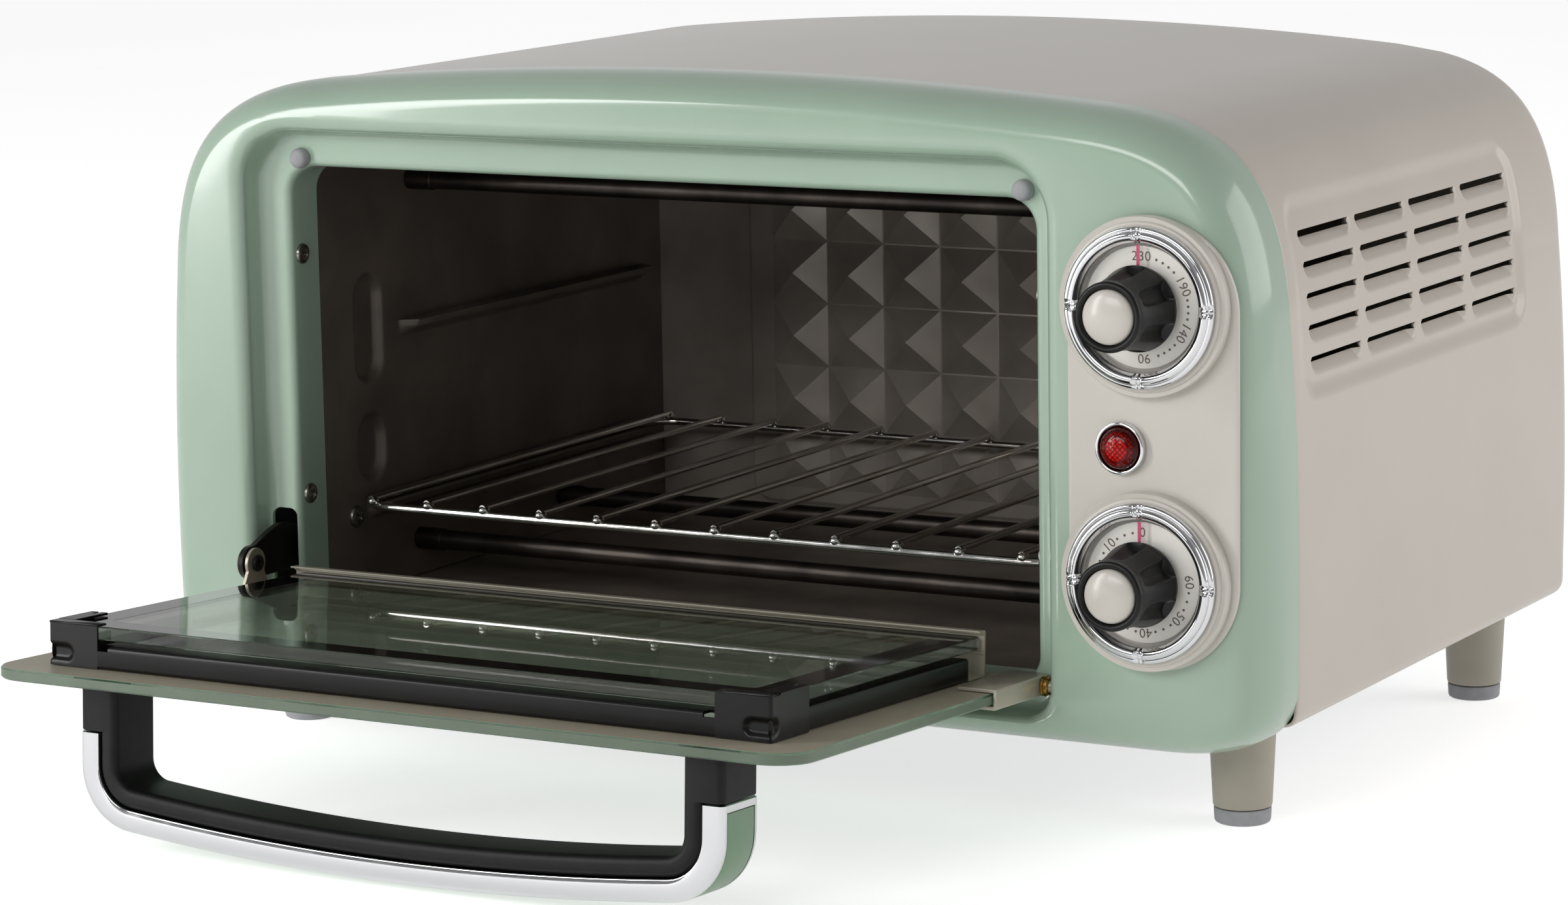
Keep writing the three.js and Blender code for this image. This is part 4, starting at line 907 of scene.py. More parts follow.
ring_profile = ([(RING["inner"], RING["foot"]), (22.2, RING["foot"])]
                + bend(21.35, -7.15, 0.95, 10, -110, 8) + bend(19.7, -7.9, 1.4, -35, -150, 12)
                + [(18.1, -7.5), (RING["inner"], -7.2), (RING["inner"], RING["foot"])])
quarter_turns = np.linspace(0, 2 * math.pi, 5)[:-1]
around = [np.linspace(0, 2 * math.pi, 96, endpoint=False)]
around += [turn + np.linspace(-0.11, 0.11, 27) for turn in quarter_turns]
around = np.unique(np.round(np.mod(np.concatenate(around), 2 * math.pi), 4))
off_quarter = np.abs((around + math.pi / 4) % (math.pi / 2) - math.pi / 4) * 20.5
pinch = 0.42 * np.exp(-(off_quarter / 1.25) ** 6)
rib = 0.16 * np.cos(off_quarter * 2 * math.pi / 0.95) * (off_quarter < 1.1)


def dial_ring(z):
    """The rings of points of a chromed ring round a dial at the given height."""
    rings = []
    for radius, y in ring_profile[:-1]:
        lift = np.maximum(RING["foot"] - 0.4 - y, 0)
        depth = y + lift * pinch - rib * (lift > 0.3)
        rings.append(np.stack([DIAL_X + radius * np.sin(around), depth, z + radius * np.cos(around)], axis=1))
    return skin(rings, closed=True)


def printed(name, text, dial_z, bearing, body):
    """A number printed on a disc with its top outwards, at a clockwise bearing from the top."""
    curve = bpy.data.curves.new(name, "FONT")
    curve.body = text
    curve.align_x = "CENTER"
    curve.align_y = "CENTER"
    curve.size = NUMBER_HEIGHT / 0.72 * MM
    curve.extrude = PRINT_THICK * MM
    curve.space_character = 1.05
    curve.resolution_u = 6
    flat = bpy.data.objects.new(name, curve)
    bpy.context.scene.collection.objects.link(flat)
    graph = bpy.context.evaluated_depsgraph_get()
    mesh = bpy.data.meshes.new_from_object(flat.evaluated_get(graph))
    bpy.data.objects.remove(flat)
    out = Vector((math.sin(bearing), 0, math.cos(bearing)))
    across = Vector((math.cos(bearing), 0, -math.sin(bearing)))
    centre = Vector((DIAL_X, FRONT + DISC_FACE - PRINT_THICK, dial_z)) * MM + out * PRINT_RADIUS * MM
    turn = Matrix((across, out, Vector((0, -1, 0)))).transposed().to_4x4()
    mesh.transform(Matrix.Translation(centre) @ turn)
    mesh.materials.clear()
    mesh.materials.append(brown_ink)
    piece = bpy.data.objects.new(name, mesh)
    bpy.context.scene.collection.objects.link(piece)
    return ride_and_replace(piece, body, "black_plastic")


# Each number's place in degrees clockwise from the top. The dots in a gap run from one part of
# it to another, so many in all.
SCALES = {"temperature": {"230": 0, "190": 63, "140": 117, "90": 177},
          "timer": {"0": 0, "60": 85, "50": 130.8, "40": 176.7, "30": 222.5, "20": 268.3, "10": 314.2}}
DOTS = {"temperature": (0.3, 0.7, 4), "timer": (0.27, 0.73, 3)}
WIDEST_DOTTED_GAP = 80
dots_tree, given, result = new_tree("printed_dots", Radius="Float", Finish="Material")
dot = add_node(dots_tree, "GeometryNodeMeshCylinder", {
    "Vertices": 14, "Radius": given["Radius"], "Depth": 2 * PRINT_THICK * MM})
aim = add_node(dots_tree, "GeometryNodeInputNamedAttribute", {"Name": "aim"}, data_type="FLOAT_VECTOR")
turn_to = add_node(dots_tree, "FunctionNodeAlignRotationToVector", {"Vector": aim.outputs[0]}, axis="Z")
laid = add_node(dots_tree, "GeometryNodeInstanceOnPoints", {
    "Points": given["Geometry"], "Instance": dot.outputs[0], "Rotation": turn_to.outputs[0]})
finish_tree(dots_tree, laid.outputs[0], given, result)

for dial, z in DIAL_Z.items():
    ring = make_piece(f"{dial}_chrome_ring", *dial_ring(z), bright_chrome)
    ride_and_replace(ring, "housing", "chrome", f"{dial}_ring")
    pane_profile = [(7, -7.2), (17.6, -7.2), (17.6, -6.5), (7, -6.5), (7, -7.2)]
    pane = make_piece(f"{dial}_clear_pane", *spun(pane_profile, (DIAL_X, z)), clear_window)
    ride_and_replace(pane, "housing", "clear_window", f"{dial}_window")
    mark = [(DIAL_X - 0.5, z + 9.5), (DIAL_X + 0.5, z + 9.5), (DIAL_X + 0.5, z + 17.3),
            (DIAL_X - 0.5, z + 17.3)]
    line_piece = make_piece(f"{dial}_red_line", *prism(mark, -7.27, -7.2), red_ink)
    ride_and_replace(line_piece, "housing", "red_lens")
    disc_profile = [(6.3, DISC_FACE), (16.4, DISC_FACE), (16.8, -5.05), (16.8, -4.4), (6.3, -4.4),
                    (6.3, DISC_FACE)]
    disc = make_piece(f"{dial}_number_disc", *spun(disc_profile, (DIAL_X, z)), pale_disc)
    ride_and_replace(disc, f"{dial}_dial", "ivory_abs", f"{dial}_disc")
    marks = sorted(SCALES[dial].items(), key=lambda item: item[1])
    dots = []
    for index, (text, bearing) in enumerate(marks):
        printed(f"{dial}_number_{text}", text, z, math.radians(bearing), f"{dial}_dial")
        following = marks[index + 1][1] if index + 1 < len(marks) else 360
        gap = following - bearing
        if gap < WIDEST_DOTTED_GAP:
            dots += [bearing + gap * t for t in np.linspace(*DOTS[dial])]
    places = [(DIAL_X + PRINT_RADIUS * math.sin(math.radians(b)), DISC_FACE - PRINT_THICK,
               z + PRINT_RADIUS * math.cos(math.radians(b))) for b in dots]
    grow(f"{dial}_dots", dots_tree, f"{dial}_dial", "black_plastic", points=body_place(places),
         aims=[(0, -1, 0)] * len(places), Radius=0.38 * MM, Finish=brown_ink)

# ---- knobs --------------------------------------------------------------------------------
# A black nylon knob is moulded with six finger scoops that run out below its thick front rim,
# and an ivory button is pressed into its face. It is pushed on to a steel shaft.
KNOB_BORE = [(0, -19.8), (3.2, -19.8), (3.2, -3.8)]
KNOB_SKIRT = [(6.0, -3.8), (6.0, -7.5), (11.2, -7.6), (11.75, -7.9), (11.9, -8.5), (11.75, -9.4)]
KNOB_CONE = {"rear": (11.6, -9.8), "front": (9.55, -24.4), "bow": 0.25}
SCOOP = {"count": 6, "depth": 2.1, "half_width": 0.27, "front": -23.2, "rear": -9.0, "run_in": 6.0,
         "least_radius": 9}
knob_around = np.linspace(0, 2 * math.pi, 216, endpoint=False)


def knob_rings(z):
    """The rings of a knob: its bore, its skirt, the scooped cone, the front rim and the face."""
    (rear_radius, rear_y), (front_radius, front_y) = KNOB_CONE["rear"], KNOB_CONE["front"]
    cone = [(rear_radius + (front_radius - rear_radius) * t - KNOB_CONE["bow"] * math.sin(math.pi * t),
             rear_y + (front_y - rear_y) * t) for t in np.linspace(0, 1, 26)]
    rim = bend(8.75, -26.2, 0.95, 25, -115, 9) + [(7.9, -26.6), (7.75, -25.7), (0.01, -25.7)]
    slice_angle = 2 * math.pi / SCOOP["count"]
    off = (knob_around + slice_angle / 2) % slice_angle - slice_angle / 2
    rings = []
    for radius, y in KNOB_BORE + KNOB_SKIRT + cone + rim:
        run = np.clip((y - SCOOP["front"]) / SCOOP["run_in"], 0, 1) if y < SCOOP["rear"] else 0.0
        run = math.sqrt(1 - (1 - run) ** 2)
        width = SCOOP["half_width"] * (0.55 + 0.45 * run)
        scoop = np.clip(1 - (off / width) ** 2, 0, 1) ** 0.8 * run * SCOOP["depth"]
        reach = radius - scoop * (radius > SCOOP["least_radius"])
        rings.append(np.stack([DIAL_X + reach * np.sin(knob_around), np.full(len(knob_around), y),
                               z + reach * np.cos(knob_around)], axis=1))
    return skin(rings, caps=False)


# Turned steel, plain and bright, with a faint grain from the tool.
steel_shaft = new_finish("turned_steel", "#9a9a9b", 0.3, Metallic=1.0)
ripple(steel_shaft, 0.4, 0.01)
for dial, z in DIAL_Z.items():
    grip = make_piece(f"{dial}_nylon_knob", *knob_rings(z), black_nylon, sharp=50)
    ride_and_replace(grip, f"{dial}_dial", "black_plastic", f"{dial}_knob")
    dome = [(0, -28.6), (2, -28.52), (4, -28.2), (5.6, -27.75), (6.8, -27.2), (7.35, -26.75), (7.5, -26.3),
            (7.5, -25.9), (0, -25.9)]
    button = make_piece(f"{dial}_ivory_button", *spun(dome, (DIAL_X, z)), ivory_abs, sharp=45)
    ride_and_replace(button, f"{dial}_dial", "ivory_abs", f"{dial}_knob_cap")
    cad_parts[f"{dial}_shaft"].data.materials[0] = steel_shaft
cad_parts["thermostat"].data.materials[0] = black_nylon
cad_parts["timer"].data.materials[0] = galvanised

# ---- pilot lamp ---------------------------------------------------------------------------
# A neon lamp behind a red acrylic lens, moulded inside with crossed prisms, in a small
# chromed bezel.

# Red acrylic over prisms, with their light painted into its colour: painted glints on the prism points,
# painted shade in the net between them, and painted shade round the rim.
red_lens = new_finish("red_prismatic_acrylic", "#8a0806", 0.08, Specular_IOR_Level=0.3)
net = red_lens.node_tree
lens_place = add_node(net, "ShaderNodeTexCoord")
lens_turn = add_node(net, "ShaderNodeMapping", {
    "Vector": lens_place.outputs["Object"], "Rotation": (0, math.radians(45), 0)})
prisms = add_node(net, "ShaderNodeTexVoronoi", {
    "Vector": lens_turn.outputs[0], "Scale": 1 / (1.05 * MM), "Randomness": 0.0}, distance="CHEBYCHEV")
valley = add_node(net, "ShaderNodeMapRange", {
    "Value": prisms.outputs["Distance"], "From Min": 0.22, "From Max": 0.48})
# Painted glints on the prism points, painted shade in the lines between them.
prism_glints_and_shade = add_node(net, "ShaderNodeMix", {
    "Factor": valley.outputs["Result"], 6: srgb("#d4120c"), 7: srgb("#3c0101")}, data_type="RGBA")
from_axis = add_node(net, "ShaderNodeVectorMath", {
    0: lens_place.outputs["Object"], 1: (-LAMP_X * MM, 0, -LAMP_Z * MM)}, operation="ADD")
flat_off = add_node(net, "ShaderNodeVectorMath", {0: from_axis.outputs[0], 1: (1, 0, 1)},
                    operation="MULTIPLY")
off_axis = add_node(net, "ShaderNodeVectorMath", {0: flat_off.outputs[0]}, operation="LENGTH")
# Painted shade towards the rim of the lens.
rim_shade = add_node(net, "ShaderNodeMapRange", {
    "Value": off_axis.outputs["Value"], "From Min": 3.2 * MM, "From Max": 5.0 * MM})
rim_painted_shade = add_node(net, "ShaderNodeMix", {
    "Factor": rim_shade.outputs["Result"], 6: prism_glints_and_shade.outputs[2], 7: srgb("#3a0202")}, data_type="RGBA")
facets = add_node(net, "ShaderNodeBump", {
    "Height": prisms.outputs["Distance"], "Distance": 0.3 * MM, "Strength": 0.35})
lens_shader = net.nodes["Principled BSDF"]
net.links.new(rim_painted_shade.outputs[2], lens_shader.inputs["Base Color"])
net.links.new(facets.outputs["Normal"], lens_shader.inputs["Normal"])
lens_profile = [(0, -6), (1.5, -5.93), (2.9, -5.65), (4.1, -5.15), (5.1, -4.45), (5.75, -3.7), (6, -3),
                (6, 14), (0, 14)]
lens = make_piece("red_lens_dome", *spun(lens_profile, (LAMP_X, LAMP_Z), segments=64), red_lens)
ride_and_replace(lens, "housing", "red_lens", "lamp_lens")
bezel_profile = ([(6.3, -1.8), (7.3, -1.8), (7.3, -2.9)] + bend(6.8, -3.2, 0.55, 0, -180, 10)
                 + [(6.3, -1.8)])
bezel = make_piece("chromed_bezel", *spun(bezel_profile, (LAMP_X, LAMP_Z), segments=72), bright_chrome)
ride_and_replace(bezel, "housing", "chrome", "lamp_bezel")

# ---- door glass ---------------------------------------------------------------------------
# Two toughened panes: an outer one whose painted border hides the frame, and a smaller one
# behind it, lightly tinted, with a fired black border. The door hangs almost level when open.
TILT = 0.055
GLASS = {"x0": -146.5, "x1": 114.5, "z0": -141.0, "z1": 4.0, "top": 3.0, "bottom": 12.0}
HALF_GLASS = 1.6
SIGHT = {"x0": -118.0, "x1": 86.0, "z0": -114.0, "z1": -20.0, "top": 6.0, "bottom": 6.0}
PANE = {"x0": -131.1, "x1": 99.1, "z0": -125.7, "z1": -6.3, "top": 1.2, "bottom": 1.2}
PANE_LOW, PANE_HIGH = 9.6, 13.4


def door_place(points):
    """Points drawn in the door's own frame: across, along from the hinge, and up off the glass."""
    across, along, up = np.asarray(points, float).T
    y = FRONT + PIN_BACK + along * math.cos(TILT) + up * math.sin(TILT)
    z = PIN_HEIGHT - along * math.sin(TILT) + up * math.cos(TILT)
    return np.stack([across, y, z], axis=1) * MM


def flat_at(outline, up):
    """An outline laid flat at a height."""
    return np.insert(np.asarray(outline, float), 2, up, axis=1)


def slab(outline, low, high, chamfer):
    """A flat sheet between two heights, its edges taken off all round."""
    rings = [(chamfer, low), (0.0, low + chamfer), (0.0, high - chamfer), (chamfer, high)]
    return skin([flat_at(inset(outline, by), up) for by, up in rings])


def border_film(outer, hole, low, high):
    """A closed thin film round a hole, both outlines having the same count."""
    rings = [flat_at(outer, low), flat_at(outer, high), flat_at(hole, high), flat_at(hole, low)]
    return skin(rings, closed=True)


def give_faces(piece, finish, chosen):
    """A second finish for the faces whose normal is chosen."""
    piece.data.materials.append(finish)
    for face in piece.data.polygons:
        face.material_index = 1 if chosen(face.normal) else 0


# Toughened soda-lime glass: clear and polished, with the faint green of iron.
door_glass = new_finish("toughened_green_glass", "#b9c6b6", 0.02, Transmission_Weight=1.0, IOR=1.5,
                        Alpha=0.8)
mottle(door_glass, "#b9c6b6", "#b4c2b1", 60)
# The cut edges are ground and matt, so they show an even grey green.
ground_edge = new_finish("ground_glass_edge", "#73826e", 0.35, Transmission_Weight=0.35)
ripple(ground_edge, 0.5, 0.006)
mottle(ground_edge, "#73826e", "#6d7c69", 12)
# The inner pane has a smoky green tint through its whole thickness.
tinted_pane = new_finish("toughened_tinted_glass", "#a8b09e", 0.015, Transmission_Weight=1.0, IOR=1.5,
                         Alpha=0.78)
mottle(tinted_pane, "#a8b09e", "#a3ac99", 60)
# Screen-printed enamel fired on to the glass: mint outside, beige on its inner side, and black.
mint_print = new_finish("mint_screen_print", "#8fb596", 0.45)
mottle(mint_print, "#8fb596", "#8ab192", 20)
beige_print = new_finish("beige_screen_print", "#b0a894", 0.4)
mottle(beige_print, "#b0a894", "#aaa28e", 12)
ripple(beige_print, 0.6, 0.006)
black_frit = new_finish("black_ceramic_print", "#070707", 0.06)
mottle(black_frit, "#060606", "#0b0b0b", 8)

outer_edge = rounded(**GLASS, steps=12)
outer_pane = make_piece("outer_door_glass", *slab(outer_edge, -HALF_GLASS, HALF_GLASS, 0.45),
                        door_glass, place=door_place)
give_faces(outer_pane, ground_edge, lambda normal: abs(normal.z) < 0.6)
ride_and_replace(outer_pane, "door", "door_glass", "door_glass_outer")
sight_edge = rounded(**SIGHT, steps=12)
print_film = make_piece("outer_glass_print", *border_film(inset(outer_edge, 0.7), sight_edge, 1.45, 1.66),
                        mint_print, place=door_place, sharp=20)
give_faces(print_film, beige_print, lambda normal: normal.z > 0.9)
ride_and_replace(print_film, "door", "door_glass")

inner_edge = rounded(**PANE, steps=8)
inner_pane = make_piece("inner_door_glass", *slab(inner_edge, PANE_LOW, PANE_HIGH, 0.4), tinted_pane,
                        place=door_place)
ride_and_replace(inner_pane, "door", "door_glass", "door_glass_inner")
frit_hole = rounded(PANE["x0"] + 10, PANE["x1"] - 10, PANE["z0"] + 10, PANE["z1"] - 7, 2, 2, 8)
frit = make_piece("inner_glass_print", *border_film(inset(inner_edge, 0.6), frit_hole, 13.2, 13.43),
                  black_frit, place=door_place, sharp=20)
ride_and_replace(frit, "door", "door_glass")

# ---- door frame ---------------------------------------------------------------------------
# Channels folded from 0.8 mm steel carry the inner pane. Two clips are folded over its front
# corners, all in satin black enamel. A beige rail with a hooked lip holds its hinge side.
FRAME = {"x0": -132.0, "x1": 100.0, "low": 1.9, "front": -127.6, "hinge": -6.0}
CLIP = {"out": 1.0, "face": -128.6, "front": 17.0, "side": 20.0, "sheet": 0.7, "high": 14.4, "lip": 4.5}
DENT = {"front": 6.0, "side": 1.5, "radius": 2.8, "up": 5.7, "depth": 1.15, "edge": 1.6}
CHANNEL_SHEET = 0.8
NOTCH = 3.6

# Satin black enamel on steel: near black, with a slow orange peel.
black_enamel = new_finish("satin_black_enamel", "#0e0d0e", 0.28, Specular_IOR_Level=0.3)
mottle(black_enamel, "#0c0b0c", "#121112", 18)
ripple(black_enamel, 1.4, 0.012)
# Baked beige enamel on the folded steel of the rail and the hinges: even, with a clear gloss.
beige_enamel = new_finish("beige_baked_enamel", "#b9b2a1", 0.26, Coat_Weight=0.3, Coat_Roughness=0.1)
ripple(beige_enamel, 1.6, 0.008)
mottle(beige_enamel, "#b9b2a1", "#b3ac9b", 22)


def along_x(profile, x0, x1):
    """A profile of (along, up) carried across the door."""
    shape = np.asarray(profile, float)
    return skin([np.insert(shape, 0, x, axis=1) for x in (x0, x1)])


def block(x0, x1, v0, v1, w0, w1):
    """A plain box in the door's own frame."""
    return along_x([(v0, w0), (v1, w0), (v1, w1), (v0, w1)], x0, x1)


def channel(width, low, high, sheet, bend_radius=0.9):
    """A C section, open towards +, with rounded outer bends."""
    outer = np.concatenate([arc(bend_radius, low + bend_radius, bend_radius, 270, 180, 5),
                            arc(bend_radius, high - bend_radius, bend_radius, 180, 90, 5)])
    return [(width, low)] + [tuple(p) for p in outer] + [
        (width, high), (width, high - sheet), (sheet + 0.1, high - sheet), (sheet, high - sheet - 0.1),
        (sheet, low + sheet + 0.1), (sheet + 0.1, low + sheet), (width, low + sheet)]


c_section = channel(9.0, FRAME["low"], FRAME["low"] + 6.4, CHANNEL_SHEET)
front_x = (FRAME["x0"] - CLIP["out"] + CLIP["front"], FRAME["x1"] + CLIP["out"] - CLIP["front"])
front_rail = make_piece("front_channel", *along_x([(CLIP["face"] + a, w) for a, w in c_section], *front_x),
                        black_enamel, place=door_place)
notches = ((front_x[0] - 1, front_x[0] + NOTCH), (front_x[1] - NOTCH, front_x[1] + 1))
cut_away(front_rail, [block(x0, x1, CLIP["face"] - 1, CLIP["face"] + 4.0, 6.9, 9.0) for x0, x1 in notches],
         place=door_place)
ride_and_replace(front_rail, "door", "black_steel", "door_channel_front")

for side, x, inwards in (("left", FRAME["x0"], 1), ("right", FRAME["x1"], -1)):
    shape = [(x + inwards * a, w) for a, w in c_section]
    rings = [[(across, v, up) for across, up in shape]
             for v in (FRAME["front"] + 9.3, FRAME["hinge"] - 9.4)]
    rail_piece = make_piece(f"{side}_channel", *skin(rings), black_enamel, place=door_place)
    ride_and_replace(rail_piece, "door", "black_steel", f"door_channel_{side}")

hook = [(-9, 1.9), (0.2, 1.9), (0.75, 2.1), (1, 2.7), (1, 14.3), (0.8, 14.9), (0.2, 15.1), (-2.6, 15.1),
        (-2.8, 14.9), (-2.6, 14.6), (-0.6, 14.5), (-0.6, 13.9), (0.0, 13.7), (0.3, 13.4), (0.3, 9.2),
        (0.05, 8.9), (0.05, 8.3), (0.3, 8.0), (0.3, 2.6), (-9, 2.6)]
hook = [(FRAME["hinge"] + a, w) for a, w in hook]
hinge_rail = make_piece("hinge_side_rail", *along_x(hook, FRAME["x0"] - 2.6, FRAME["x1"]), beige_enamel,
                        place=door_place)
ride_and_replace(hinge_rail, "door", "grey_beige_paint", "door_hinge_rail")


def clip_wall(out, inwards):
    """The wall of a corner clip, from its front end round the corner to its side end. A D-shaped
    dent is pressed into it from the corner."""
    stations = [(across, 0.0, 0.0, 1.0, across) for across in np.linspace(CLIP["front"], 1.0, 34)]
    for turn in np.linspace(0, math.pi / 2, 9)[1:-1]:
        stations.append((1 - math.sin(turn), 1 - math.cos(turn), math.sin(turn), math.cos(turn), 0.0))
    stations += [(0.0, v, 1.0, 0.0, -v) for v in np.linspace(1.0, CLIP["side"], 34)]
    rings = []
    for across, v, push_x, push_v, path in stations:
        ring = []
        for w in np.linspace(FRAME["low"], CLIP["high"] - 0.5, 30):
            off = max(path - DENT["front"], -path - DENT["side"], 0.0)
            dent = DENT["depth"] * soft_step(DENT["radius"] - math.hypot(off, w - DENT["up"]), DENT["edge"])
            ring.append((out + inwards * (across + dent * push_x), CLIP["face"] + v + dent * push_v, w))
        rings.append(ring)
    return skin(rings, loop=False, caps=False)


for side, x, inwards in (("left", FRAME["x0"], 1), ("right", FRAME["x1"], -1)):
    out = x - inwards * CLIP["out"]
    wall = make_piece(f"{side}_clip_wall", *clip_wall(out, inwards), black_enamel, thick=CLIP["sheet"],
                      place=door_place, facing=(0, -1, 0), sharp=50)
    ride_and_replace(wall, "door", "black_steel", f"door_corner_clip_{side}")
    lip_w = (CLIP["high"] - CLIP["sheet"], CLIP["high"])
    across = sorted((out + inwards * 0.1, out + inwards * CLIP["front"]))
    start, stop = CLIP["face"] + 0.02, CLIP["face"] + CLIP["lip"]
    front_lip = make_piece(f"{side}_clip_front_lip", *block(*across, start, stop, *lip_w), black_enamel,
                           bevel=0.3, place=door_place)
    ride_and_replace(front_lip, "door", "black_steel")
    across = sorted((out + inwards * 0.02, out + inwards * 5.5))
    start, stop = CLIP["face"] + CLIP["lip"] + 0.3, CLIP["face"] + CLIP["side"]
    side_lip = make_piece(f"{side}_clip_side_lip", *block(*across, start, stop, *lip_w), black_enamel,
                          place=door_place)
    fork = sorted((out + inwards * 2.2, out + inwards * 3.4))
    cut_away(side_lip, [block(*fork, stop - 3.5, stop + 1, 13, 15)], place=door_place)
    ride_and_replace(side_lip, "door", "black_steel")

# ---- hinges -------------------------------------------------------------------------------
# Each bracket is a steel clip folded round the glass edge and enamelled beige. Its nickel-plated
# pin is riveted on and turns in a brass bush. The left one has a lug that carries the door's link.
HINGE_X = {"left": (-146.8, 1), "right": (114.8, -1)}
BRACKET_RUN = (-29, 4)
LUG = {"x0": -143.6, "x1": -142.4, "v": -15.4, "w": 16.3, "radius": 4.6, "hole": 1.75}
LUG_FOOT = [(LUG["v"] - 9.6, 2.5), (LUG["v"] + 9, 2.5)]

# Nickel plate over steel: warm, softly bright.
nickel_plate = new_finish("nickel_plated_steel", "#a39b8b", 0.36, Metallic=0.35)
smudge(nickel_plate, 0.2, 0.36, 9)
ripple(nickel_plate, 0.6, 0.006)
# Turned brass with a thin film of oil: a deep yellow.
brass = new_finish("turned_brass", "#a5803c", 0.28, Metallic=1.0)
smudge(brass, 0.2, 0.4, 3)
for side, (web, inwards) in HINGE_X.items():
    outer_x = web - inwards
    fold = [(11, 2.9), (-0.4, 2.9), (-0.85, 2.7), (-1, 2.3), (-1, -2.3), (-0.85, -2.7), (-0.4, -2.9),
            (11, -2.9), (11, -1.9), (0.1, -1.9), (0, -1.8), (0, 1.8), (0.1, 1.9), (11, 1.9)]
    rings = [[(web + inwards * a, v, w) for a, w in fold] for v in BRACKET_RUN]
    clip = make_piece(f"{side}_hinge_clip", *skin(rings), beige_enamel, bevel=0.12, place=door_place)
    ride_and_replace(clip, "door", "grey_beige_paint", f"hinge_bracket_{side}")
    reach = [(0, web), (1.8, web), (1.8, outer_x - inwards * 5.6), (1.4, outer_x - inwards * 6),
             (0, outer_x - inwards * 6)]
    pin = make_piece(f"{side}_hinge_pin", *spun(reach, (0, 0), "x", 32), nickel_plate, place=door_place)
    ride_and_replace(pin, "door", "grey_beige_paint")
    start, stop = outer_x - inwards * 0.3, outer_x - inwards * 2.2
    sleeve = [(1.95, start), (2.9, start), (2.9, start - inwards * 0.7), (2.55, start - inwards * 0.8),
              (2.55, stop + inwards * 0.2), (2.35, stop), (1.95, stop), (1.95, start)]
    bush = make_piece(f"{side}_brass_bush", *spun(sleeve, (0, 0), "x", 40), brass, place=door_place)
    ride_and_replace(bush, "door", "brass", f"hinge_bush_{side}")

lug_line = [(LUG["v"] + LUG["radius"] * math.cos(a), LUG["w"] + LUG["radius"] * math.sin(a))
            for a in np.linspace(-0.5, math.pi + 0.5, 28)] + LUG_FOOT


def pierced(outline, centre, radius, x0, x1, chamfer=0.15):
    """A plate across x with a round hole, its outline running anticlockwise round the hole."""
    turns = np.linspace(0, 2 * math.pi, 97)[:-1]
    rim = looking(outline, turns, centre)
    around_hole = np.stack([np.cos(turns), np.sin(turns)], axis=1)
    rings = []
    for x, by in ((x0, chamfer), (x0 + chamfer, 0), (x1 - chamfer, 0), (x1, chamfer)):
        rings.append(np.insert(inset(rim, by), 0, x, axis=1))
    for x, by in ((x1, chamfer), (x1 - chamfer, 0), (x0 + chamfer, 0), (x0, chamfer)):
        rings.append(np.insert(centre + around_hole * (radius + by), 0, x, axis=1))
    return skin(rings, closed=True)


lug_plate = pierced(lug_line, np.array([LUG["v"], LUG["w"]]), LUG["hole"], LUG["x0"], LUG["x1"])
lug = make_piece("link_lug", *lug_plate, nickel_plate, place=door_place)
ride_and_replace(lug, "door", "grey_beige_paint", "hinge_bracket_left")

# ---- door link ----------------------------------------------------------------------------
# A black steel arm runs from the lug into the housing, where a spring pulls on it. A hollow
# steel rivet joins it to the lug, and it stays level as the door turns.
pivot = door_place([(0, LUG["v"], LUG["w"])])[0] / MM
LINK = {"x0": -146.2, "x1": -144.0, "length": 60.0}


def link_place(points):
    """Points drawn from the link's pivot in mm, as places in the frame."""
    return (np.asarray(points, float) + (0, pivot[1], pivot[2])) * MM


# Black oxide on punched steel: almost black, with an oily half gloss.
link_steel = new_finish("black_oxide_steel", "#1f1d1b", 0.4, Metallic=0.5)
smudge(link_steel, 0.3, 0.5, 5)
ripple(link_steel, 0.7, 0.01)
arm = [(5 * math.cos(a), 5 * math.sin(a)) for a in np.linspace(math.pi / 2, 3 * math.pi / 2, 24)]
arm += [(LINK["length"] - 6, -6), (LINK["length"], -2), (LINK["length"], 2)]
arm += [tuple(p) for p in bezier((34, 3.5), (26, 6), (22, 9.6), (16.5, 9.6), 10)]
arm += [tuple(p) for p in bezier((16, 9.6), (12.5, 9.4), (6, 6.6), (2, 5), 8)]
arm_sections = [(LINK["x0"], 0.25), (LINK["x0"] + 0.25, 0), (LINK["x1"] - 0.25, 0), (LINK["x1"], 0.25)]
arm_rings = [np.insert(inset(np.asarray(arm), by), 0, x, axis=1) for x, by in arm_sections]
link_arm = make_piece("link_arm", *skin(arm_rings), link_steel, place=link_place)
arm_holes = ((LUG["hole"], (0, 0)), (1.4, (LINK["length"] - 5, -1.5)))
cut_away(link_arm, [spun([(0, -150), (radius, -150), (radius, -140), (0, -140)], at, "x", 32)
                    for radius, at in arm_holes], place=link_place)
ride_and_replace(link_arm, "link", "black_steel", "door_link")
rivet_line = [(0, -146.8), (0.9, -146.8), (1.0, -147.15), (1.35, -147.38), (1.9, -147.4), (2.45, -147.15),
              (2.6, -146.75), (2.55, -146.5), (1.5, -146.5), (1.5, -142.1), (2.5, -142.1), (2.6, -141.8),
              (2.4, -141.4), (2.0, -141.2), (1.5, -141.25), (1.05, -141.5), (0.9, -142.0), (0, -142.0)]
rivet = make_piece("hollow_rivet", *spun(rivet_line, (0, 0), "x", 48), link_steel, place=link_place)
ride_and_replace(rivet, "link", "zinc_steel", "link_rivet")

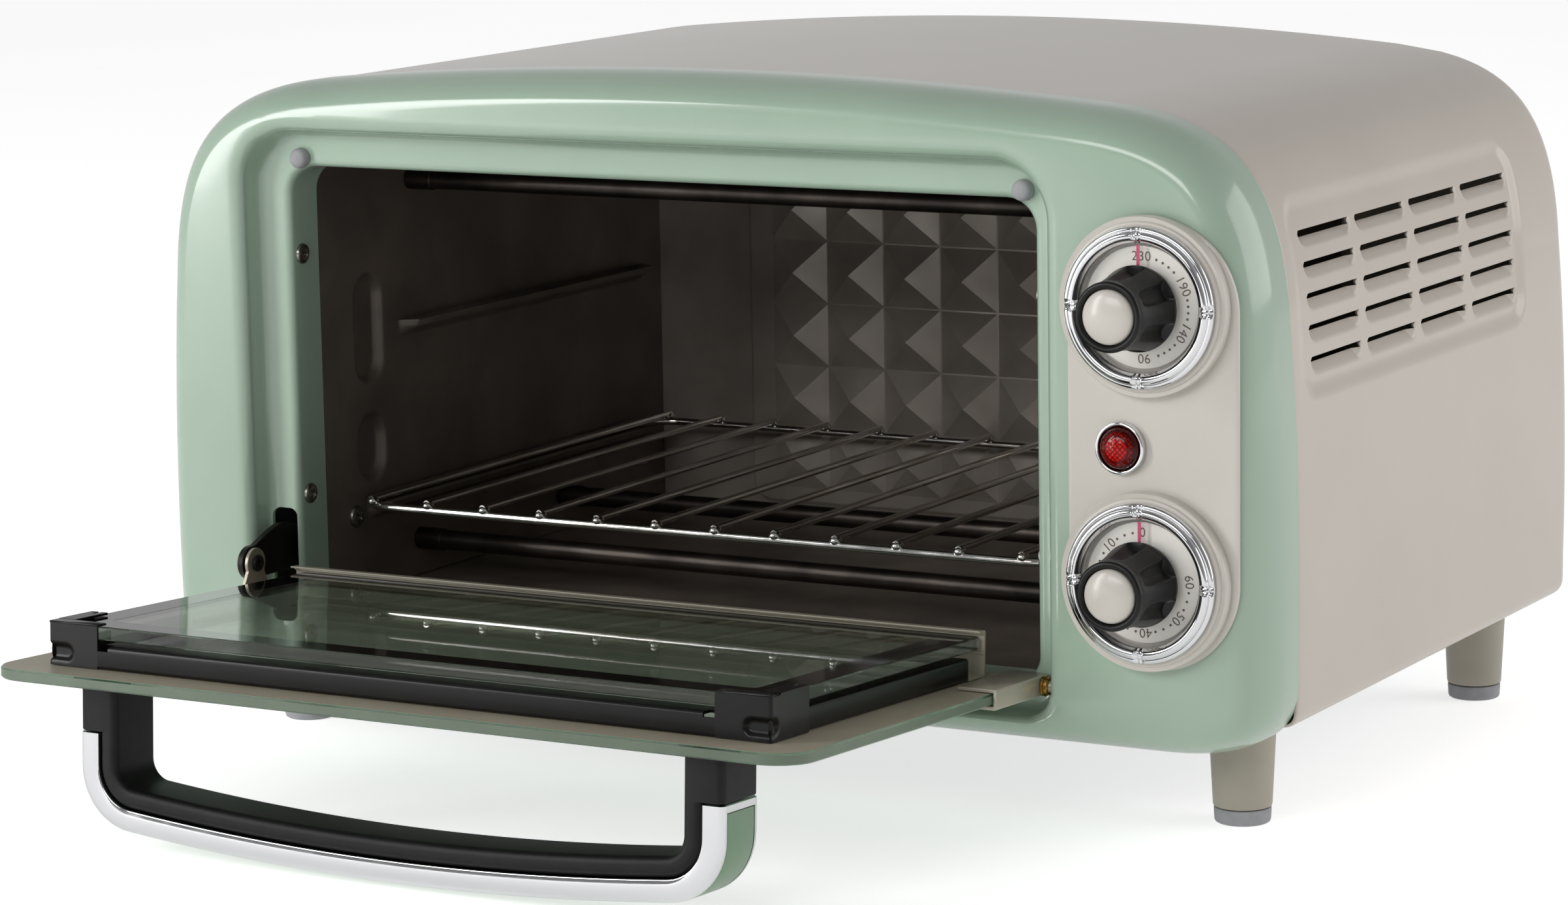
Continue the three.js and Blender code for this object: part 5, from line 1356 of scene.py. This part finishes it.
# ---- handle -------------------------------------------------------------------------------
# A moulded bail bolted through the glass: a matt black nylon grip, a chromed moulding let into
# its outer side, and a green inlay in the groove of the chrome.
BAIL = {"half": 104.3, "bow": 840.0, "corner": 18.0, "drop": 47.7, "middle": -16.0, "thick": 12.5,
        "front": -131.3, "rear": -112.3}
SEAT = {"depth": 6.7, "top": -15.2}
TRIM = {"depth": 6.4, "top": -15.5}
INLAY = {"depth": 1.2, "top": -18.0, "front": -128.8, "rear": -114.8}


def bail_line(by, tops):
    """The bail at a distance in from its outer side, from one top to the other. The heights in
    tops are where its left leg is cut."""
    half = BAIL["half"] - by
    bow = BAIL["bow"] - by
    corner = BAIL["corner"] - 0.95 * by
    centre_w = BAIL["bow"] - BAIL["drop"]
    corner_x = half - corner
    corner_w = centre_w - math.sqrt((bow - corner) ** 2 - corner_x ** 2)
    lean = math.degrees(math.atan2(corner_x, centre_w - corner_w))
    leg = [(half, w) for w in tops]
    turn = arc(corner_x, corner_w, corner, 0, lean - 90, 14)
    sweep = arc(0, centre_w, bow, lean - 90, -90, 26)[1:]
    right = np.concatenate([leg, turn, sweep])
    left = right[::-1][1:] * (-1, 1)
    return np.concatenate([right, left]) + (BAIL["middle"], 0)


def bail_sweep(sections, tops):
    """Sweeps a section of (distance in, along) round the bail. Sections holds one per height in
    tops, and the last one is kept for the rest of the way round."""
    count = len(bail_line(0.0, tops))
    rings = []
    for station in range(count):
        section = sections[min(station, count - 1 - station, len(sections) - 1)]
        ring = []
        for by, v in section:
            x, w = bail_line(by, tops)[station]
            ring.append((x, v, w))
        rings.append(ring)
    return skin(rings)


# Nylon with a spark-eroded grain: matt black, faintly speckled.
grained_nylon = new_finish("grained_black_nylon", "#0b0a0b", 0.48, Specular_IOR_Level=0.3)
mottle(grained_nylon, "#090809", "#100f10", 4)
ripple(grained_nylon, 0.35, 0.05, detail=3.0)
# Green lacquer on the inlay, a deeper tone than the body's.
green_inlay = new_finish("green_lacquered_inlay", "#6f8f70", 0.3, Coat_Weight=0.4, Coat_Roughness=0.1)
ripple(green_inlay, 2.0, 0.006)
mottle(green_inlay, "#6f8f70", "#6a8a6b", 18)


def grip_section(depth):
    """The nylon bar's section, cut back by a depth on its outer side."""
    return rounded(depth, BAIL["thick"], BAIL["front"], BAIL["rear"], 2.2, 2.2, 6)


def trim_section(groove):
    """The chromed moulding's section, with a groove of the given depth for the inlay."""
    front, rear, depth = BAIL["front"], BAIL["rear"], TRIM["depth"]
    outer_front = arc(1.8, front + 1.8, 1.8, 180, 270, 7)
    inner_front = arc(depth - 0.4, front + 0.4, 0.4, 270, 360, 3)
    inner_rear = arc(depth - 0.4, rear - 0.4, 0.4, 0, 90, 3)
    outer_rear = arc(1.8, rear - 1.8, 1.8, 90, 180, 7)
    groove_line = [(0, -114.5), (groove, -114.55), (groove, -129.05), (0, -129.1)]
    return np.concatenate([outer_front, inner_front, inner_rear, outer_rear, groove_line])


grip_tops = [-1.9, -14.9, SEAT["top"], SEAT["top"], -16.2]
grip_sections = [grip_section(depth) for depth in (0.0, 0.0, 0.3, SEAT["depth"])]
grip_piece = make_piece("handle_black_grip", *bail_sweep(grip_sections, grip_tops), grained_nylon,
                        place=door_place, sharp=40)
ride_and_replace(grip_piece, "door", "black_plastic", "handle_grip")
trim_tops = [TRIM["top"], TRIM["top"] - 0.35, -17.7, -17.7, -19.0]
end_cap = [(0.35 + by * 0.89, v * 0.963 - 4.5) for by, v in trim_section(0.0)]
trim_sections = [end_cap, trim_section(0.0), trim_section(0.0), trim_section(1.5)]
trim_piece = make_piece("handle_chrome_trim", *bail_sweep(trim_sections, trim_tops), bright_chrome,
                        place=door_place, sharp=40)
ride_and_replace(trim_piece, "door", "chrome", "handle_trim")
inlay_tops = [INLAY["top"], INLAY["top"] - 0.3, -20.0]
inlay_section = rounded(0.0, INLAY["depth"], INLAY["front"], INLAY["rear"], 0.35, 0.35, 3)
inlay = make_piece("handle_green_inlay", *bail_sweep([inlay_section], inlay_tops), green_inlay,
                   place=door_place)
ride_and_replace(inlay, "door", "green_enamel", "handle_insert")

# ---- feet and bumpers ---------------------------------------------------------------------
# Four tapered feet moulded in the body's colour, each with a pale grey rubber sole pressed on.
# Two domed rubber bumpers in the door recess stop the glass.
FEET = {"front_left": (-160.4, 41.0), "front_right": (160.4, 41.0), "rear_left": (-160.4, 220.7),
        "rear_right": (160.4, 220.7)}

# Moulded polypropylene in the body's colour, painted darker with the shade under the oven: satin, with faint
# flow marks.
shaded_foot_plastic = new_finish("moulded_beige_plastic", "#aca698", 0.42)
mottle(shaded_foot_plastic, "#aca698", "#a6a092", 12)
ripple(shaded_foot_plastic, 0.9, 0.01)
# Cool grey rubber, matt with a fine tooth.
grey_rubber = new_finish("grey_moulded_rubber", "#a3a3a6", 0.75)
mottle(grey_rubber, "#a3a3a6", "#9b9b9f", 3)
ripple(grey_rubber, 0.3, 0.02)
for corner, (x, y) in FEET.items():
    leg = [(0, 33.1), (9.75, 33.1), (9.78, 31.5), (8.45, 5.4), (8.3, 4.95), (8.0, 4.8), (0, 4.8)]
    foot = make_piece(f"{corner}_foot", *spun(leg, (x, y), "z", 64), shaded_foot_plastic)
    ride_and_replace(foot, "housing", "grey_beige_paint", f"foot_{corner}")
    sole = [(0, 4.5), (7.9, 4.5), (8.15, 4.3), (8.2, 4.0), (8.02, 0.9), (7.8, 0.35), (7.3, 0.05), (6.2, 0),
            (5.8, 0.5), (0, 0.5)]
    tip = make_piece(f"{corner}_sole", *spun(sole, (x, y), "z", 64), grey_rubber)
    ride_and_replace(tip, "housing", "grey_rubber", f"foot_tip_{corner}")
for side, x in (("left", -134.7), ("right", 108.6)):
    dome = [(0, 6.42), (0.9, 6.46), (1.7, 6.62), (2.35, 6.95), (2.8, 7.45), (3.0, 8.1), (3.05, 9.7), (0, 9.7)]
    bumper = make_piece(f"{side}_rubber_bumper", *spun(dome, (x, 181), segments=48), grey_rubber)
    ride_and_replace(bumper, "housing", "grey_rubber", f"door_bumper_{side}")

# ---- screws -------------------------------------------------------------------------------
# Pan-head screws with a cross recess, zinc plated. They hold the fascia's flange, the cavity's
# left side, the back panel and the base.
BASE_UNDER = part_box("base_plate")[0].z / MM
BACK_FACE = COVER_START + COVER_SHEET
HEAD_RADIUS = 3.4
RIGHT, LEFT, BACK, DOWN = (1, 0, 0), (-1, 0, 0), (0, 1, 0), (0, 0, -1)
SCREWS = {
    "mouth": {"radius": 3.1, "aims": [RIGHT, RIGHT, LEFT, LEFT],
              "places": [(x, 15.6, z) for x in (MOUTH["x0"], MOUTH["x1"]) for z in (151, 77)]},
    "cavity": {"radius": HEAD_RADIUS, "aims": [RIGHT], "places": [(CAVITY["x0"], 39.7, 65.7)]},
    "back": {"radius": HEAD_RADIUS, "aims": [BACK] * 6,
             "places": [(side * x, BACK_FACE, z) for x, z in ((165, 120), (110, 190), (90, 44))
                        for side in (-1, 1)]},
    "base": {"radius": HEAD_RADIUS, "aims": [DOWN] * 4,
             "places": [(x, y, BASE_UNDER) for y in (66, 200) for x in (-150, 150)]},
}

# Zinc plate, passivated: cool grey with a faint yellow bloom, worn in the recess.
zinc_plate = new_finish("zinc_plated_steel", "#9b9a92", 0.3, Metallic=1.0)
mottle(zinc_plate, "#a3a29c", "#8f8b7c", 2.5)
smudge(zinc_plate, 0.22, 0.42, 2)


def own_place(points):
    """Points drawn in mm round a piece's own origin."""
    return np.asarray(points, float) * MM


head_line = [(0, 0), (HEAD_RADIUS, 0), (HEAD_RADIUS, 0.35), (3.2, 0.85), (2.6, 1.2), (1.6, 1.4), (0, 1.45)]
head = make_piece("screw_head", *spun(head_line, (0, 0), "z", 40), zinc_plate, place=own_place)
for half_long, half_wide in ((2.0, 0.4), (0.4, 2.0)):
    high = rounded(-half_long, half_long, -half_wide, half_wide, 0.1, 0.1, 2)
    cut_away(head, [skin([flat_at(high * 0.4, 0.25), flat_at(high, 2.0)])], place=own_place)

driven, given, result = new_tree("driven_screws", Head="Object", Scale="Float", Seed="Int", Finish="Material")
template = add_node(driven, "GeometryNodeObjectInfo", {"Object": given["Head"]})
aim = add_node(driven, "GeometryNodeInputNamedAttribute", {"Name": "aim"}, data_type="FLOAT_VECTOR")
pointed = add_node(driven, "FunctionNodeAlignRotationToVector", {"Vector": aim.outputs[0]}, axis="Z")
any_turn = add_node(driven, "FunctionNodeRandomValue", {"Min": 0.0, "Max": math.pi, "Seed": given["Seed"]},
                    data_type="FLOAT")
spin = add_node(driven, "FunctionNodeAxisAngleToRotation", {
    "Axis": (0, 0, 1), "Angle": any_turn.outputs[1]})
tightened = add_node(driven, "FunctionNodeRotateRotation", {
    "Rotation": pointed.outputs[0], "Rotate By": spin.outputs[0]}, rotation_space="LOCAL")
laid = add_node(driven, "GeometryNodeInstanceOnPoints", {
    "Points": given["Geometry"], "Instance": template.outputs["Geometry"], "Rotation": tightened.outputs[0],
    "Scale": given["Scale"]})
finish_tree(driven, laid.outputs[0], given, result)
for index, (group, screw) in enumerate(SCREWS.items()):
    grow(f"{group}_screws", driven, "housing", "zinc_steel", points=body_place(screw["places"]),
         aims=screw["aims"], Head=head, Scale=screw["radius"] / HEAD_RADIUS, Seed=index, Finish=zinc_plate)
bpy.data.objects.remove(head)
